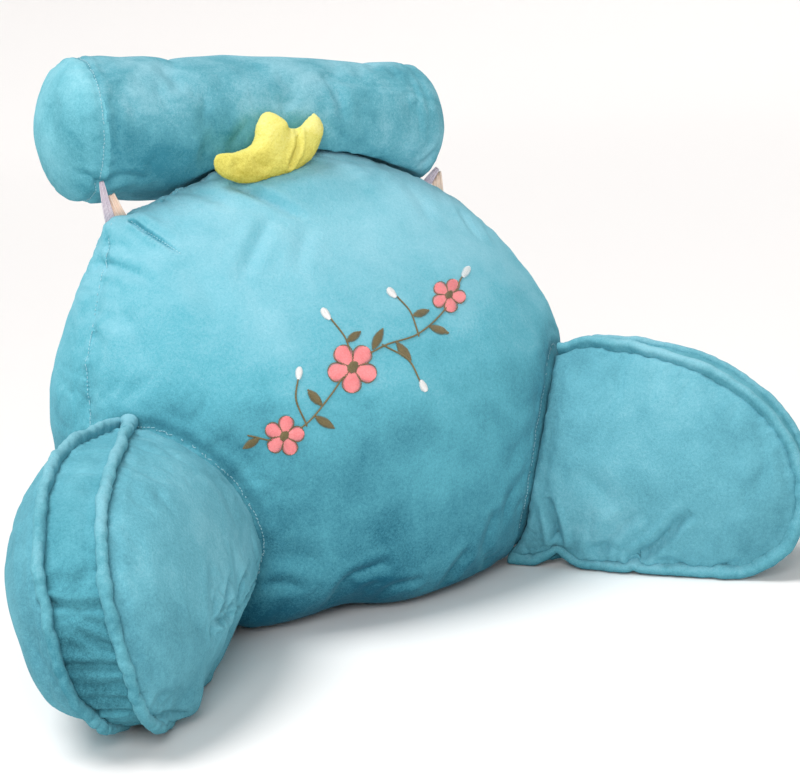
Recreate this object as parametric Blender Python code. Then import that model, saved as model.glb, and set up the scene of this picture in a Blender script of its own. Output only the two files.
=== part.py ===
"""Reading pillow with arms: a filled backrest with two filled arms, a neck roll and a small crown.

Metres, +Z up. The pillow faces -Y and stands on z = 0, with its origin under the middle of the
backrest. Every filled piece is lofted through closed rings, so its crown and its drawn-in seams
come from a few named sizes.
"""
import math
from collections import namedtuple

import bpy
import bmesh
from mathutils import Matrix, Vector
from mathutils.bvhtree import BVHTree

# ---------------------------------------------------------------- driving sizes
GAP = 0.0003                    # play between two pieces that are sewn together
CHANNEL_PLAY = 1.5 * GAP        # a welt's channel has flat sides, so it takes a little more

# Backrest: horizontal sections from the base to the top seam.
# The front panel is an arc between its two side seams, then comes the side gusset, then the back.
Section = namedtuple("Section", "height front_half front_seam_y front_crown "
                                "back_half back_seam_y back_crown gusset_bulge shift")
BACKREST = [
    Section(0.000, 0.196, 0.020, 0.140, 0.190, 0.105, 0.008, 0.004, 0.000),
    Section(0.018, 0.226, 0.012, 0.160, 0.218, 0.125, 0.014, 0.010, 0.000),
    Section(0.060, 0.254, 0.004, 0.168, 0.246, 0.137, 0.022, 0.014, 0.000),
    Section(0.135, 0.276, -0.002, 0.176, 0.266, 0.142, 0.026, 0.014, 0.000),
    Section(0.235, 0.292, -0.002, 0.170, 0.276, 0.136, 0.028, 0.010, 0.004),
    Section(0.320, 0.275, 0.010, 0.134, 0.262, 0.112, 0.032, 0.006, 0.004),
    Section(0.380, 0.242, 0.032, 0.100, 0.236, 0.086, 0.032, 0.003, 0.002),
    Section(0.420, 0.204, 0.050, 0.068, 0.204, 0.070, 0.028, 0.001, -0.002),
    Section(0.450, 0.136, 0.056, 0.052, 0.134, 0.064, 0.022, 0.000, 0.008),
    Section(0.474, 0.066, 0.058, 0.028, 0.066, 0.061, 0.012, 0.000, 0.014),
    Section(0.482, 0.020, 0.059, 0.010, 0.020, 0.060, 0.005, 0.000, 0.018),
]
BACKREST_RINGS = 25
FRONT_STEPS = 22
GUSSET_STEPS = 4
BACK_STEPS = 14
SEAM_DRAW = 0.004               # how far a side seam pulls the cloth in
SEAM_DRAW_SHARE = 0.1           # but no more than this share of the half width, near the tip
SLUMP = 0.035                   # the filling has sunk a little to the right: slope of the top

# Arms: a D-shaped inner and outer panel joined by a boxing strip, with a welt on each edge.
Arm = namedtuple("Arm", "side root_x root_y splay length height strip "
                        "inner_crown outer_crown lean droop")
ARMS = {
    "left": Arm(-1, -0.219, -0.082, 38.0, 0.309, 0.243, 0.050, 0.078, 0.075, -0.22, -0.02),
    "right": Arm(1, 0.211, -0.130, 36.0, 0.268, 0.252, 0.050, 0.034, 0.052, -0.19, 0.12),
}
# How an arm's panel is filled: its crown at the foot as a share, and where it stands out most,
# along the arm in metres and up it as a share.
Filling = namedtuple("Filling", "foot_share fullest_along fullest_up")
FILLINGS = {"inner": Filling(0.40, 0.040, 0.50), "outer": Filling(0.70, 0.130, 0.36)}
STRIP_TOP_TAPER = 0.14          # the boxing strip narrows to this share where its top is sewn on
STRIP_FOOT_TAPER = 0.50         # and to this share at the foot
STRIP_FULL_AT = 0.45            # it has its full width from here on, of the arm's length
STRIP_LOW_SHARE = 0.72          # at the far end it narrows again under the arm
STRIP_LOW_UNTIL = 0.40          # from this height down, of the arm's height
ARM_TAIL = 0.130                # length of the arm that lies inside the backrest before it is cut
ARM_ROUND_TOP = 2.3             # superellipse power of the upper half of the D
ARM_ROUND_FOOT = 2.4            # and of the lower half
ARM_WIDEST = 0.38               # height of the D's fullest point, of the arm's height
ARM_FOOT_SINK = 0.008           # the foot is pressed flat by this much
ARM_CROWN_POWER = 2.4           # how evenly a panel is filled out: higher is flatter
ARM_EDGE_POWER = 3              # how late a panel takes the changing width of the strip
ARM_STEPS = 44
ARM_PANEL_RINGS = 7
WELT_RADIUS = 0.0054
WELT_OUT = 0.003                # the welt's middle lies this far outside the panel's edge
WELT_SIDE = 0.003               # and this far out from the boxing strip
WELT_INSIDE = 0.072             # it runs on this far into the backrest, where it is cut off
WELT_AIM_UP = 0.42              # it stands out square to a middle at this share of the height
WELT_SIDES = 8

# Neck roll: a tube with two domed end panels.
ROLL_MIDDLE = Vector((-0.017, 0.108, 0.505))
ROLL_LENGTH = 0.474
ROLL_RADIUS = 0.0765
ROLL_LEFT_RADIUS = 0.080        # at the end seams: the filling has gone to the left
ROLL_RIGHT_RADIUS = 0.0735
ROLL_DOME = 0.044
ROLL_YAW = -3.9
ROLL_TILT = -4.6
ROLL_STEPS = 26
ROLL_DOME_RINGS = 5
ROLL_DOME_START = 0.3           # the dome's first ring, in steps from its tip
ROLL_BODY_RINGS = 8
ROLL_SEAM_DRAW = 0.003

# Elastic loops that hold the roll at the backrest's two top corners.
ELASTIC_WIDTH = 0.014
ELASTIC_THICK = 0.0018
ELASTIC_SPREAD = 0.012          # distance between its two strands
ELASTIC_DIP = 0.0036            # how far the fold hangs under its two strands
ELASTIC_BITE = 0.0006           # how deep the fold is pressed into the corner
ELASTIC_STRAND_STEPS = 4
ELASTIC_FOLD_STEPS = 6
Elastic = namedtuple("Elastic", "x y turn rise sway back")
ELASTICS = {
    "left": Elastic(-0.198, 0.058, -35.0, 0.064, -0.006, 0.016),
    "right": Elastic(0.198, 0.052, -35.0, 0.046, -0.020, 0.012),
}

# Crown: two three-lobed panels, stuffed. Across and up are in the crown's own upright plane.
Lobe = namedtuple("Lobe", "across up")
CROWN_OUTLINE = [
    Lobe(-0.036, -0.008), Lobe(-0.060, 0.001), Lobe(-0.076, 0.014), Lobe(-0.070, 0.028),
    Lobe(-0.046, 0.030), Lobe(-0.026, 0.033), Lobe(-0.015, 0.044), Lobe(-0.003, 0.062),
    Lobe(0.009, 0.060), Lobe(0.016, 0.044), Lobe(0.027, 0.036), Lobe(0.044, 0.046),
    Lobe(0.058, 0.048), Lobe(0.062, 0.034), Lobe(0.053, 0.014), Lobe(0.036, -0.001),
    Lobe(0.004, -0.008),
]
CROWN_MIDDLE = (0.0, 0.016)
CROWN_THICK = 0.017             # half of the stuffed thickness at the middle
CROWN_POWER = 2.4               # how evenly it is stuffed: higher is flatter
CROWN_RINGS = 4
CROWN_PLACE = Vector((-0.026, 0.017, 0.465))
CROWN_LEAN = -12.0              # it leans back against the roll
CROWN_CANT = -9.0               # and stands higher on its right

COLOURS = {
    "plush": (0.155, 0.430, 0.510, 1.0),
    "plush_light": (0.185, 0.470, 0.550, 1.0),
    "welt": (0.130, 0.400, 0.480, 1.0),
    "yellow": (0.720, 0.690, 0.230, 1.0),
    "elastic": (0.800, 0.700, 0.720, 1.0),
}


# ---------------------------------------------------------------- helpers
def clear_scene():
    for old in list(bpy.data.objects):
        bpy.data.objects.remove(old, do_unlink=True)


def material(name, roughness=0.95):
    """A Principled material in one of the pillow's colours."""
    if name in bpy.data.materials:
        return bpy.data.materials[name]
    made = bpy.data.materials.new(name)
    made.use_nodes = True
    shader = made.node_tree.nodes["Principled BSDF"]
    shader.inputs["Base Color"].default_value = COLOURS[name]
    shader.inputs["Roughness"].default_value = roughness
    shader.inputs["Metallic"].default_value = 0.0
    return made


def between(rows, place):
    """The row at a fractional place in a table, on a smooth curve through the rows."""
    last = len(rows) - 1
    index = min(int(place), last - 1)
    part = place - index
    before = rows[max(index - 1, 0)]
    start = rows[index]
    end = rows[index + 1]
    after = rows[min(index + 2, last)]
    smooth = []
    for a, b, c, d in zip(before, start, end, after):
        smooth.append(0.5 * (2 * b + (c - a) * part + (2 * a - 5 * b + 4 * c - d) * part ** 2
                             + (3 * b - a - 3 * c + d) * part ** 3))
    return type(start)(*smooth)


def add_ring(bm, points):
    """A closed loop of edges through the points."""
    verts = [bm.verts.new(point) for point in points]
    return [bm.edges.new((verts[i - 1], verts[i])) for i in range(len(verts))]


def loft(rings, domed=False):
    """A closed skin bridged over a row of rings, with a face or a fan on the first and the last."""
    bm = bmesh.new()
    loops = [add_ring(bm, ring) for ring in rings]
    for lower, upper in zip(loops, loops[1:]):
        bmesh.ops.bridge_loops(bm, edges=lower + upper)
    caps = []
    for loop in (loops[0], loops[-1]):
        caps += bmesh.ops.contextual_create(bm, geom=loop)["faces"]
    if domed:
        bmesh.ops.poke(bm, faces=caps)
    bmesh.ops.triangulate(bm, faces=bm.faces)
    bmesh.ops.recalc_face_normals(bm, faces=bm.faces)
    if bm.calc_volume(signed=True) < 0:
        bmesh.ops.reverse_faces(bm, faces=bm.faces)
    return bm


def to_object(bm, name, colour):
    """Turn a bmesh into a named object with its own material."""
    mesh = bpy.data.meshes.new(name)
    bm.to_mesh(mesh)
    bm.free()
    mesh.shade_smooth()
    made = bpy.data.objects.new(name, mesh)
    bpy.context.scene.collection.objects.link(made)
    mesh.materials.append(material(colour))
    return made


def guide(made):
    """Mark an object as a cutter."""
    made.hide_render = True
    made.display_type = "WIRE"
    return made


def room_for(piece):
    """A cutter that is the piece grown by the play."""
    cutter = bpy.data.objects.new(piece.name + "_room", piece.data)
    bpy.context.scene.collection.objects.link(cutter)
    grow = cutter.modifiers.new("play", "DISPLACE")
    grow.strength = GAP
    grow.mid_level = 0.0
    return guide(cutter)


def cut(piece, cutter, solver="EXACT"):
    """Take the cutter out of the piece."""
    step = piece.modifiers.new("less_" + cutter.name, "BOOLEAN")
    step.operation = "DIFFERENCE"
    step.solver = solver
    step.object = cutter


# ---------------------------------------------------------------- backrest
def backrest_ring(row):
    """One horizontal ring: front arc, right gusset, back arc, left gusset."""
    points = []
    for i in range(FRONT_STEPS):
        turn = math.pi * (i / FRONT_STEPS - 0.5)
        points.append((row.front_half * math.sin(turn),
                       row.front_seam_y - row.front_crown * math.cos(turn)))
    gusset = []
    for i in range(GUSSET_STEPS):
        part = i / GUSSET_STEPS
        gusset.append((row.front_half + (row.back_half - row.front_half) * part
                       + row.gusset_bulge * math.sin(math.pi * part),
                       row.front_seam_y + (row.back_seam_y - row.front_seam_y) * part))
    points += gusset
    for i in range(BACK_STEPS):
        turn = math.pi * (0.5 - i / BACK_STEPS)
        points.append((row.back_half * math.sin(turn),
                       row.back_seam_y + row.back_crown * math.cos(turn)))
    points.append((-row.back_half, row.back_seam_y))
    points += [(-x, y) for x, y in reversed(gusset[1:])]
    draw = min(SEAM_DRAW, SEAM_DRAW_SHARE * row.front_half)
    seams = (0, FRONT_STEPS, FRONT_STEPS + GUSSET_STEPS, FRONT_STEPS + GUSSET_STEPS + BACK_STEPS)
    for seam in seams:
        x, y = points[seam]
        points[seam] = (x - math.copysign(draw, x), y)
    slope = SLUMP * min(1.0, row.height / BACKREST[-1].height)
    return [Vector((x + row.shift, y, row.height - slope * x)) for x, y in points]


def make_backrest():
    last = len(BACKREST) - 1
    rings = [backrest_ring(between(BACKREST, last * i / (BACKREST_RINGS - 1)))
             for i in range(BACKREST_RINGS)]
    return to_object(loft(rings), "backrest", "plush")


# ---------------------------------------------------------------- arms
def arm_outline(arm):
    """The D of an arm's panel as (along, up), counter-clockwise from its far end."""
    middle = (arm.length - ARM_TAIL) / 2
    reach = (arm.length + ARM_TAIL) / 2
    widest = ARM_WIDEST * arm.height
    outline = []
    for i in range(ARM_STEPS):
        turn = 2 * math.pi * i / ARM_STEPS
        c, s = math.cos(turn), math.sin(turn)
        power = 2 / (ARM_ROUND_TOP if s > 0 else ARM_ROUND_FOOT)
        along = middle + reach * math.copysign(abs(c) ** power, c)
        rise = arm.height - widest if s > 0 else widest + ARM_FOOT_SINK
        up = widest + rise * math.copysign(abs(s) ** power, s)
        up *= 1 - arm.droop * min(max(along / arm.length, 0), 1)
        outline.append((along, up))
    return outline


def ease(part):
    """A smooth step from 0 to 1."""
    part = min(max(part, 0.0), 1.0)
    return part * part * (3 - 2 * part)


def half_strip(arm, along, up):
    """Half the boxing strip's width: it narrows towards the backrest, most of all at the top."""
    high = ease(up / arm.height)
    narrow = STRIP_FOOT_TAPER + (STRIP_TOP_TAPER - STRIP_FOOT_TAPER) * high
    full = ease(along / (STRIP_FULL_AT * arm.length))
    low = STRIP_LOW_SHARE + (1 - STRIP_LOW_SHARE) * ease(up / (STRIP_LOW_UNTIL * arm.height))
    return arm.strip / 2 * (narrow + (1 - narrow) * full) * low


def arm_to_row(arm):
    """Where a point (along, across, up) of an arm lies: across is positive on the inner side."""
    splay = math.radians(arm.splay)
    along = Vector((arm.side * math.sin(splay), -math.cos(splay), 0))
    inward = Vector((-arm.side * math.cos(splay), -math.sin(splay), 0))
    root = Vector((arm.root_x, arm.root_y, 0))

    def place(a, v, w):
        point = root + along * a + inward * (v + arm.lean * w)
        point.z = max(w, 0.0)
        return point
    return place


def make_arm(name, arm):
    place = arm_to_row(arm)
    outline = arm_outline(arm)
    steps = [(i + 1) / ARM_PANEL_RINGS for i in range(ARM_PANEL_RINGS)]
    scales = [math.sin(math.pi / 2 * step) for step in steps]

    def ring(scale, face):
        filling = FILLINGS["inner" if face > 0 else "outer"]
        middle_a = filling.fullest_along
        middle_w = filling.fullest_up * arm.height
        points = []
        for a, w in outline:
            up = middle_w + (w - middle_w) * scale
            narrower = half_strip(arm, a, w) - arm.strip / 2
            edge = arm.strip / 2 + narrower * scale ** ARM_EDGE_POWER
            crown = arm.inner_crown if face > 0 else arm.outer_crown
            crown *= filling.foot_share + (1 - filling.foot_share) * ease(2 * up / arm.height)
            bulge = crown * math.sqrt(max(0.0, 1 - scale ** ARM_CROWN_POWER))
            points.append(place(middle_a + (a - middle_a) * scale, face * (edge + bulge), up))
        return points

    inner = [ring(scale, 1) for scale in scales]
    outer = [ring(scale, -1) for scale in reversed(scales)]
    return to_object(loft(inner + [ring(1.0, 0.0)] + outer, domed=True), name, "plush_light")


def welt_path(arm, face):
    """The welt's middle line along one edge of the boxing strip, from inside the backrest."""
    place = arm_to_row(arm)
    middle_a = (arm.length - ARM_TAIL) / 2
    middle_w = WELT_AIM_UP * arm.height
    path = []
    for a, w in arm_outline(arm):
        out = Vector((a - middle_a, w - middle_w)).normalized() * WELT_OUT
        point = place(a + out.x, face * (half_strip(arm, a, w) + WELT_SIDE), w + out.y)
        point.z = max(point.z, WELT_RADIUS)
        if a > -WELT_INSIDE:
            path.append((math.atan2(w - middle_w, a - middle_a), point))
    path.sort(key=lambda entry: entry[0])
    return [point for _, point in path]


def tube(path, radius, facing, sides=WELT_SIDES):
    """Rings of a round tube along a path that lies about square to the facing direction."""
    rings = []
    for i, point in enumerate(path):
        ahead = (path[min(i + 1, len(path) - 1)] - path[max(i - 1, 0)]).normalized()
        over = facing.cross(ahead).normalized()
        across = ahead.cross(over)
        rings.append([point + (across * math.cos(turn) + over * math.sin(turn)) * radius
                      for turn in (2 * math.pi * (k + 0.5) / sides for k in range(sides))])
    return rings


def make_welts(name, arm, backrest):
    """The two welts of an arm, and the cutters that make their channels in it."""
    splay = math.radians(arm.splay)
    inward = Vector((-arm.side * math.cos(splay), -math.sin(splay), 0))
    channels = []
    for edge, face in (("inner", 1), ("outer", -1)):
        path = welt_path(arm, face)
        welt = to_object(loft(tube(path, WELT_RADIUS, inward)), f"welt_{name}_{edge}", "welt")
        cut(welt, backrest)
        channel = loft(tube(path, WELT_RADIUS + CHANNEL_PLAY, inward))
        channels.append(guide(to_object(channel, f"channel_{name}_{edge}", "welt")))
    return channels


# ---------------------------------------------------------------- neck roll
def roll_frame():
    yaw, tilt = math.radians(ROLL_YAW), math.radians(ROLL_TILT)
    along = Vector((math.cos(yaw) * math.cos(tilt), math.sin(yaw) * math.cos(tilt), math.sin(tilt)))
    up = (Vector((0, 0, 1)) - along * along.z).normalized()
    return along, up, up.cross(along)


def make_roll():
    along, up, side = roll_frame()
    straight = ROLL_LENGTH / 2 - ROLL_DOME
    ends = ((-1, ROLL_LEFT_RADIUS), (1, ROLL_RIGHT_RADIUS))
    profile = []
    for end, end_radius in ends:
        for i in range(ROLL_DOME_RINGS):
            turn = math.pi / 2 * (i + ROLL_DOME_START) / ROLL_DOME_RINGS
            reach = straight + ROLL_DOME * math.cos(turn)
            profile.append((end * reach, end_radius * math.sin(turn)))
        profile.append((end * straight, end_radius - ROLL_SEAM_DRAW))
    for i in range(ROLL_BODY_RINGS):
        share = -math.cos(math.pi * (i + 0.5) / ROLL_BODY_RINGS)
        end_radius = ROLL_LEFT_RADIUS if share < 0 else ROLL_RIGHT_RADIUS
        profile.append((straight * share,
                        ROLL_RADIUS + (end_radius - ROLL_RADIUS) * share ** 2))
    profile.sort()
    rings = []
    for x, radius in profile:
        middle = ROLL_MIDDLE + along * x
        rings.append([middle + (side * math.cos(turn) + up * math.sin(turn)) * radius
                      for turn in (2 * math.pi * k / ROLL_STEPS for k in range(ROLL_STEPS))])
    return to_object(loft(rings, domed=True), "neck_roll", "plush")


# ---------------------------------------------------------------- crown
def smooth_outline(points, steps):
    """A closed curve through the points."""
    count = len(points)
    wrapped = [points[-1]] + points + points[:2]
    curve = []
    for i in range(count * steps):
        index, part = divmod(i, steps)
        four = wrapped[index:index + 4]
        curve.append(between(four, 1 + part / steps))
    return curve


def make_crown():
    outline = smooth_outline(CROWN_OUTLINE, 2)
    turn = Matrix.Rotation(math.radians(CROWN_LEAN), 4, "X")
    turn = turn @ Matrix.Rotation(math.radians(CROWN_CANT), 4, "Y")
    middle_a, middle_u = CROWN_MIDDLE

    def ring(scale, face):
        deep = face * CROWN_THICK * math.sqrt(max(0.0, 1 - scale ** CROWN_POWER))
        return [CROWN_PLACE + turn @ Vector((middle_a + (lobe.across - middle_a) * scale, deep,
                                             middle_u + (lobe.up - middle_u) * scale))
                for lobe in outline]

    scales = [math.sin(math.pi / 2 * (i + 1) / (CROWN_RINGS + 1)) for i in range(CROWN_RINGS)]
    front = [ring(scale, -1) for scale in scales]
    back = [ring(scale, 1) for scale in reversed(scales)]
    return to_object(loft(front + [ring(1.0, 0)] + back, domed=True), "crown", "yellow")


# ---------------------------------------------------------------- elastic loops
def seat_height(piece, x, y):
    """How high the piece's top surface is at (x, y)."""
    mesh = piece.data
    tree = BVHTree.FromPolygons([vert.co for vert in mesh.vertices],
                                [face.vertices for face in mesh.polygons])
    return tree.ray_cast(Vector((x, y, 1.0)), Vector((0, 0, -1)))[0].z


def make_elastic(name, elastic, backrest):
    """A flat elastic folded once: two strands up from the corner, into the roll."""
    half = ELASTIC_SPREAD / 2
    seat = seat_height(backrest, elastic.x, elastic.y)
    foot = Vector((elastic.x, elastic.y, seat + ELASTIC_DIP + ELASTIC_THICK / 2 - ELASTIC_BITE))
    turn_row = Matrix.Rotation(math.radians(elastic.turn), 4, "Z")
    line = []
    for i in range(ELASTIC_STRAND_STEPS):
        line.append((-half, elastic.rise * (1 - i / ELASTIC_STRAND_STEPS)))
    for i in range(ELASTIC_FOLD_STEPS + 1):
        turn = math.pi * i / ELASTIC_FOLD_STEPS
        line.append((-half * math.cos(turn), -ELASTIC_DIP * math.sin(turn)))
    for i in range(ELASTIC_STRAND_STEPS):
        line.append((half, elastic.rise * (i + 1) / ELASTIC_STRAND_STEPS))
    rings = []
    for i, (y, z) in enumerate(line):
        before, after = line[max(i - 1, 0)], line[min(i + 1, len(line) - 1)]
        ahead = Vector((0, after[0] - before[0], after[1] - before[1])).normalized()
        normal = Vector((0, -ahead.z, ahead.y)) * (ELASTIC_THICK / 2)
        middle = Vector((0, y, z))
        across = Vector((ELASTIC_WIDTH / 2, 0, 0))
        lean = Vector((elastic.sway, elastic.back, 0)) * (max(z, 0) / elastic.rise)
        corners = (middle - across - normal, middle + across - normal,
                   middle + across + normal, middle - across + normal)
        rings.append([foot + lean + turn_row @ corner for corner in corners])
    return to_object(loft(rings), f"elastic_{name}", "elastic")


# ---------------------------------------------------------------- assembly
def main():
    clear_scene()
    backrest = make_backrest()
    backrest_room = room_for(backrest)
    for name, arm in ARMS.items():
        filled = make_arm(f"arm_{name}", arm)
        for channel in make_welts(name, arm, backrest_room):
            cut(filled, channel)
        cut(filled, backrest_room)
    roll = make_roll()
    roll_room = room_for(roll)
    cut(roll, backrest_room)
    crown = make_crown()
    cut(crown, roll_room, solver="MANIFOLD")    # the exact one loses the crown here
    cut(crown, backrest_room)
    for name, elastic in ELASTICS.items():
        strap = make_elastic(name, elastic, backrest)
        cut(strap, roll_room)
        cut(strap, backrest_room)


main()
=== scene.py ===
# %% [markdown]
# # A plush reading pillow with arms
#
# This lesson dresses a plain solid model of a reading pillow: a filled backrest, two filled arms
# with boxing strips and welts, a neck roll on two elastic loops, and a small stuffed crown.
# The solids give the true sizes. Here each one becomes cloth: it is puffed up by a short cloth
# simulation, its seams are drawn in, its folds are pressed one by one, and it gets a short pile.

# %% The frame: load the imported solids, and a way to measure how large things are
import math
from collections import namedtuple

import bpy
import bmesh
import numpy as np
from mathutils import Matrix, Vector, noise
from mathutils.bvhtree import BVHTree
from mathutils.kdtree import KDTree


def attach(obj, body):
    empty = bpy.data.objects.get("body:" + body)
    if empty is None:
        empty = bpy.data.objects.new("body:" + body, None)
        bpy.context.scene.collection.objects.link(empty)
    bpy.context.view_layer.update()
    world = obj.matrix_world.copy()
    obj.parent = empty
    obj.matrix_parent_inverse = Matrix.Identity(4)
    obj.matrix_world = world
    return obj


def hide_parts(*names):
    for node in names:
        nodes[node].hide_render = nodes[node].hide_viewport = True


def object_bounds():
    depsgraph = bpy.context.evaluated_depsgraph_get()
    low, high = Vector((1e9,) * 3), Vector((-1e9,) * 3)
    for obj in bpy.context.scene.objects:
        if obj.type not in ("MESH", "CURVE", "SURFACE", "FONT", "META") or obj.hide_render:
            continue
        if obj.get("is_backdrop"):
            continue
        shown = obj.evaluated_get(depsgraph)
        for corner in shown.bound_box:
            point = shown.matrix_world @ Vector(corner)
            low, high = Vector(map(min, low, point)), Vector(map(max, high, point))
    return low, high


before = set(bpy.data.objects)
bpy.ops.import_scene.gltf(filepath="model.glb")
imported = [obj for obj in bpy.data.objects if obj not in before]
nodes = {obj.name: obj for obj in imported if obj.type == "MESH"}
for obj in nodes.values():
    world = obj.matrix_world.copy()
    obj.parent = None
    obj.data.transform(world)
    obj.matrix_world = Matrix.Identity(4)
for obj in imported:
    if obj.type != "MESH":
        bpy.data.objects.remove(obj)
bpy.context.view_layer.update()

# %% [markdown]
# A few small things are needed all the way through: an object that is linked into the scene, a
# mesh made from a bmesh, arrows of length one, and how long a line is. Depths and widths of folds
# are given in millimetres, because that is how a maker would speak of them.

# %% Small helpers
MM = 0.001


def placed(name, data):
    """A new object, linked into the scene."""
    thing = bpy.data.objects.new(name, data)
    bpy.context.scene.collection.objects.link(thing)
    return thing


def mesh_of(bm, name):
    """The mesh of a bmesh, which is freed."""
    mesh = bpy.data.meshes.new(name)
    bm.to_mesh(mesh)
    bm.free()
    return mesh


def unit(rows):
    """Each row as an arrow of length one."""
    return rows / np.linalg.norm(rows, axis=-1, keepdims=True)


def length_of(line):
    return np.linalg.norm(np.diff(line, axis=0), axis=1).sum()


# %% [markdown]
# ## The camera
#
# The photograph was taken from the pillow's front left, a little above it, with a long lens and
# a slight roll. The camera comes first, because a fold can then be drawn on the picture and
# dropped on to the cloth: a ray from the camera through the picture point hits the cloth where
# the fold belongs.

# %% Camera at the photograph's angle
PICTURE_WIDE = 800
PICTURE_HIGH = 775
FOCAL_PIXELS = 1861.4
SENSOR_MM = 36.0
CAMERA_AZIMUTH = math.radians(-31.584)
CAMERA_HEIGHT_ANGLE = math.radians(12.084)
CAMERA_ROLL = math.radians(-4.034)
CAMERA_DISTANCE = 2.0939
CAMERA_AIM = Vector((0.0919, 0.0, 0.2056))

backwards = Vector((math.sin(CAMERA_AZIMUTH) * math.cos(CAMERA_HEIGHT_ANGLE),
                    -math.cos(CAMERA_AZIMUTH) * math.cos(CAMERA_HEIGHT_ANGLE),
                    math.sin(CAMERA_HEIGHT_ANGLE)))
level = (-backwards).cross(Vector((0, 0, 1))).normalized()
upright = level.cross(-backwards)
camera_right = level * math.cos(CAMERA_ROLL) + upright * math.sin(CAMERA_ROLL)
camera_up = upright * math.cos(CAMERA_ROLL) - level * math.sin(CAMERA_ROLL)
camera_place = CAMERA_AIM + backwards * CAMERA_DISTANCE

camera = placed("camera", bpy.data.cameras.new("camera"))
camera.data.sensor_width = SENSOR_MM
camera.data.lens = FOCAL_PIXELS / PICTURE_WIDE * SENSOR_MM
camera_turn = Matrix((camera_right, camera_up, backwards)).transposed().to_4x4()
camera.matrix_world = Matrix.Translation(camera_place) @ camera_turn
bpy.context.scene.camera = camera
print("camera at", [round(v, 3) for v in camera_place], "lens", round(camera.data.lens, 1), "mm")


# %% [markdown]
# ## Drawing a line and dropping it on the cloth
#
# A line is drawn either on the picture, in its pixels, or on a plain side view, in metres. A view
# turns each of its points into a ray. A smooth curve is run through the drawn points first, so a
# few points are enough for a long seam.

# %% Views: where the ray of a drawn point starts and which way it goes
FAR = 2.0


def picture(point):
    """A point of the photograph, in pixels."""
    x, y = point
    ray = (camera_right * (x - PICTURE_WIDE / 2) - camera_up * (y - PICTURE_HIGH / 2)
           - backwards * FOCAL_PIXELS)
    return camera_place, ray.normalized()


def back(point):
    """Across and up, seen from behind, but measured in the frame's own +X."""
    return Vector((point[0], FAR, point[1])), Vector((0, -1, 0))


def left_side(point):
    """Depth (the frame's Y) and up, seen from the left."""
    return Vector((-FAR, point[0], point[1])), Vector((1, 0, 0))


def right_side(point):
    """Depth (the frame's Y) and up, seen from the right."""
    return Vector((FAR, point[0], point[1])), Vector((-1, 0, 0))


# %% A smooth curve through a few points, and its landing on the cloth
CURVE_STEPS = 8
FULL_TURN = 2 * math.pi


def curve_through(points, steps=CURVE_STEPS):
    """Catmull-Rom curve through the points, with so many steps between two of them."""
    rows = np.array(points, float)
    rows = np.vstack([2 * rows[0] - rows[1], rows, 2 * rows[-1] - rows[-2]])
    curve = []
    for i in range(1, len(rows) - 2):
        a, b, c, d = rows[i - 1:i + 3]
        for t in np.arange(steps) / steps:
            curve.append(0.5 * (2 * b + (c - a) * t + (2 * a - 5 * b + 4 * c - d) * t ** 2
                                + (3 * b - a - 3 * c + d) * t ** 3))
    curve.append(rows[-2])
    return np.array(curve)


def tree_of(piece):
    """A search tree of a piece's faces as they are now."""
    return BVHTree.FromPolygons([v.co for v in piece.data.vertices],
                                [f.vertices for f in piece.data.polygons])


def land(tree, view, points):
    """The drawn line as points on the cloth; points that miss it are left out."""
    hits = [tree.ray_cast(*view(point))[0] for point in curve_through(points)]
    return np.array([hit for hit in hits if hit is not None])


def evenly(line, pitch):
    """The same line with its points a pitch apart."""
    run = np.append(0, np.cumsum(np.linalg.norm(np.diff(line, axis=0), axis=1)))
    places = np.linspace(0, run[-1], int(run[-1] / pitch) + 1)
    return np.stack([np.interp(places, run, line[:, k]) for k in range(3)], axis=1)


def loop_line(points, steps, spread=0.10, closed=False):
    """A smooth line through a cloud of points that lies round a loop, by their angle in it."""
    middle = (points.min(0) + points.max(0)) / 2
    _, _, axes = np.linalg.svd(points - points.mean(0), full_matrices=False)
    flat = (points - middle) @ axes[:2].T
    turns = np.arctan2(flat[:, 1], flat[:, 0])
    if not closed:
        order = np.sort(turns)
        gaps = np.diff(np.append(order, order[0] + FULL_TURN))
        turns = turns - order[(gaps.argmax() + 1) % len(order)]
    turns = turns % FULL_TURN
    end = FULL_TURN if closed else turns.max()
    line = []
    for turn in np.linspace(0, end, steps):
        apart = (turns - turn + math.pi) % FULL_TURN - math.pi
        weight = np.exp(-(apart / spread) ** 2)
        line.append((points * weight[:, None]).sum(0) / weight.sum())
    return np.array(line)


# %% [markdown]
# ## From a solid to a filled cover
#
# Each solid is copied, its loose triangles are merged, and it is remeshed with small even
# squares. Then Blender's cloth is blown up from inside for twenty frames while the sewn edges are
# pinned, so the cloth swells between its seams as filled plush does. The movement is capped, so
# that the piece keeps its size.

# %% Reading and moving the points of a mesh with numpy
def points_of(piece):
    found = np.empty(len(piece.data.vertices) * 3)
    piece.data.vertices.foreach_get("co", found)
    return found.reshape(-1, 3)


def put_points(piece, points):
    piece.data.vertices.foreach_set("co", np.ascontiguousarray(points).ravel())
    piece.data.update()


def normals_of(piece):
    found = np.empty(len(piece.data.vertices) * 3)
    piece.data.vertex_normals.foreach_get("vector", found)
    return found.reshape(-1, 3)


def swell(piece, amount):
    """Move every point along its normal by its own amount."""
    put_points(piece, points_of(piece) + normals_of(piece) * np.reshape(amount, (-1, 1)))


def new_piece(name, mesh, finish):
    """Link a mesh as a piece that rides on the pillow."""
    piece = placed(name, mesh)
    mesh.materials.append(finish)
    mesh.shade_smooth()
    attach(piece, "root")
    return piece


def finished(piece):
    """Replace a piece's mesh by what its modifiers make of it."""
    evaluated = piece.evaluated_get(bpy.context.evaluated_depsgraph_get())
    mesh = bpy.data.meshes.new_from_object(evaluated)
    piece.modifiers.clear()
    piece.data = mesh
    mesh.shade_smooth()


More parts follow.
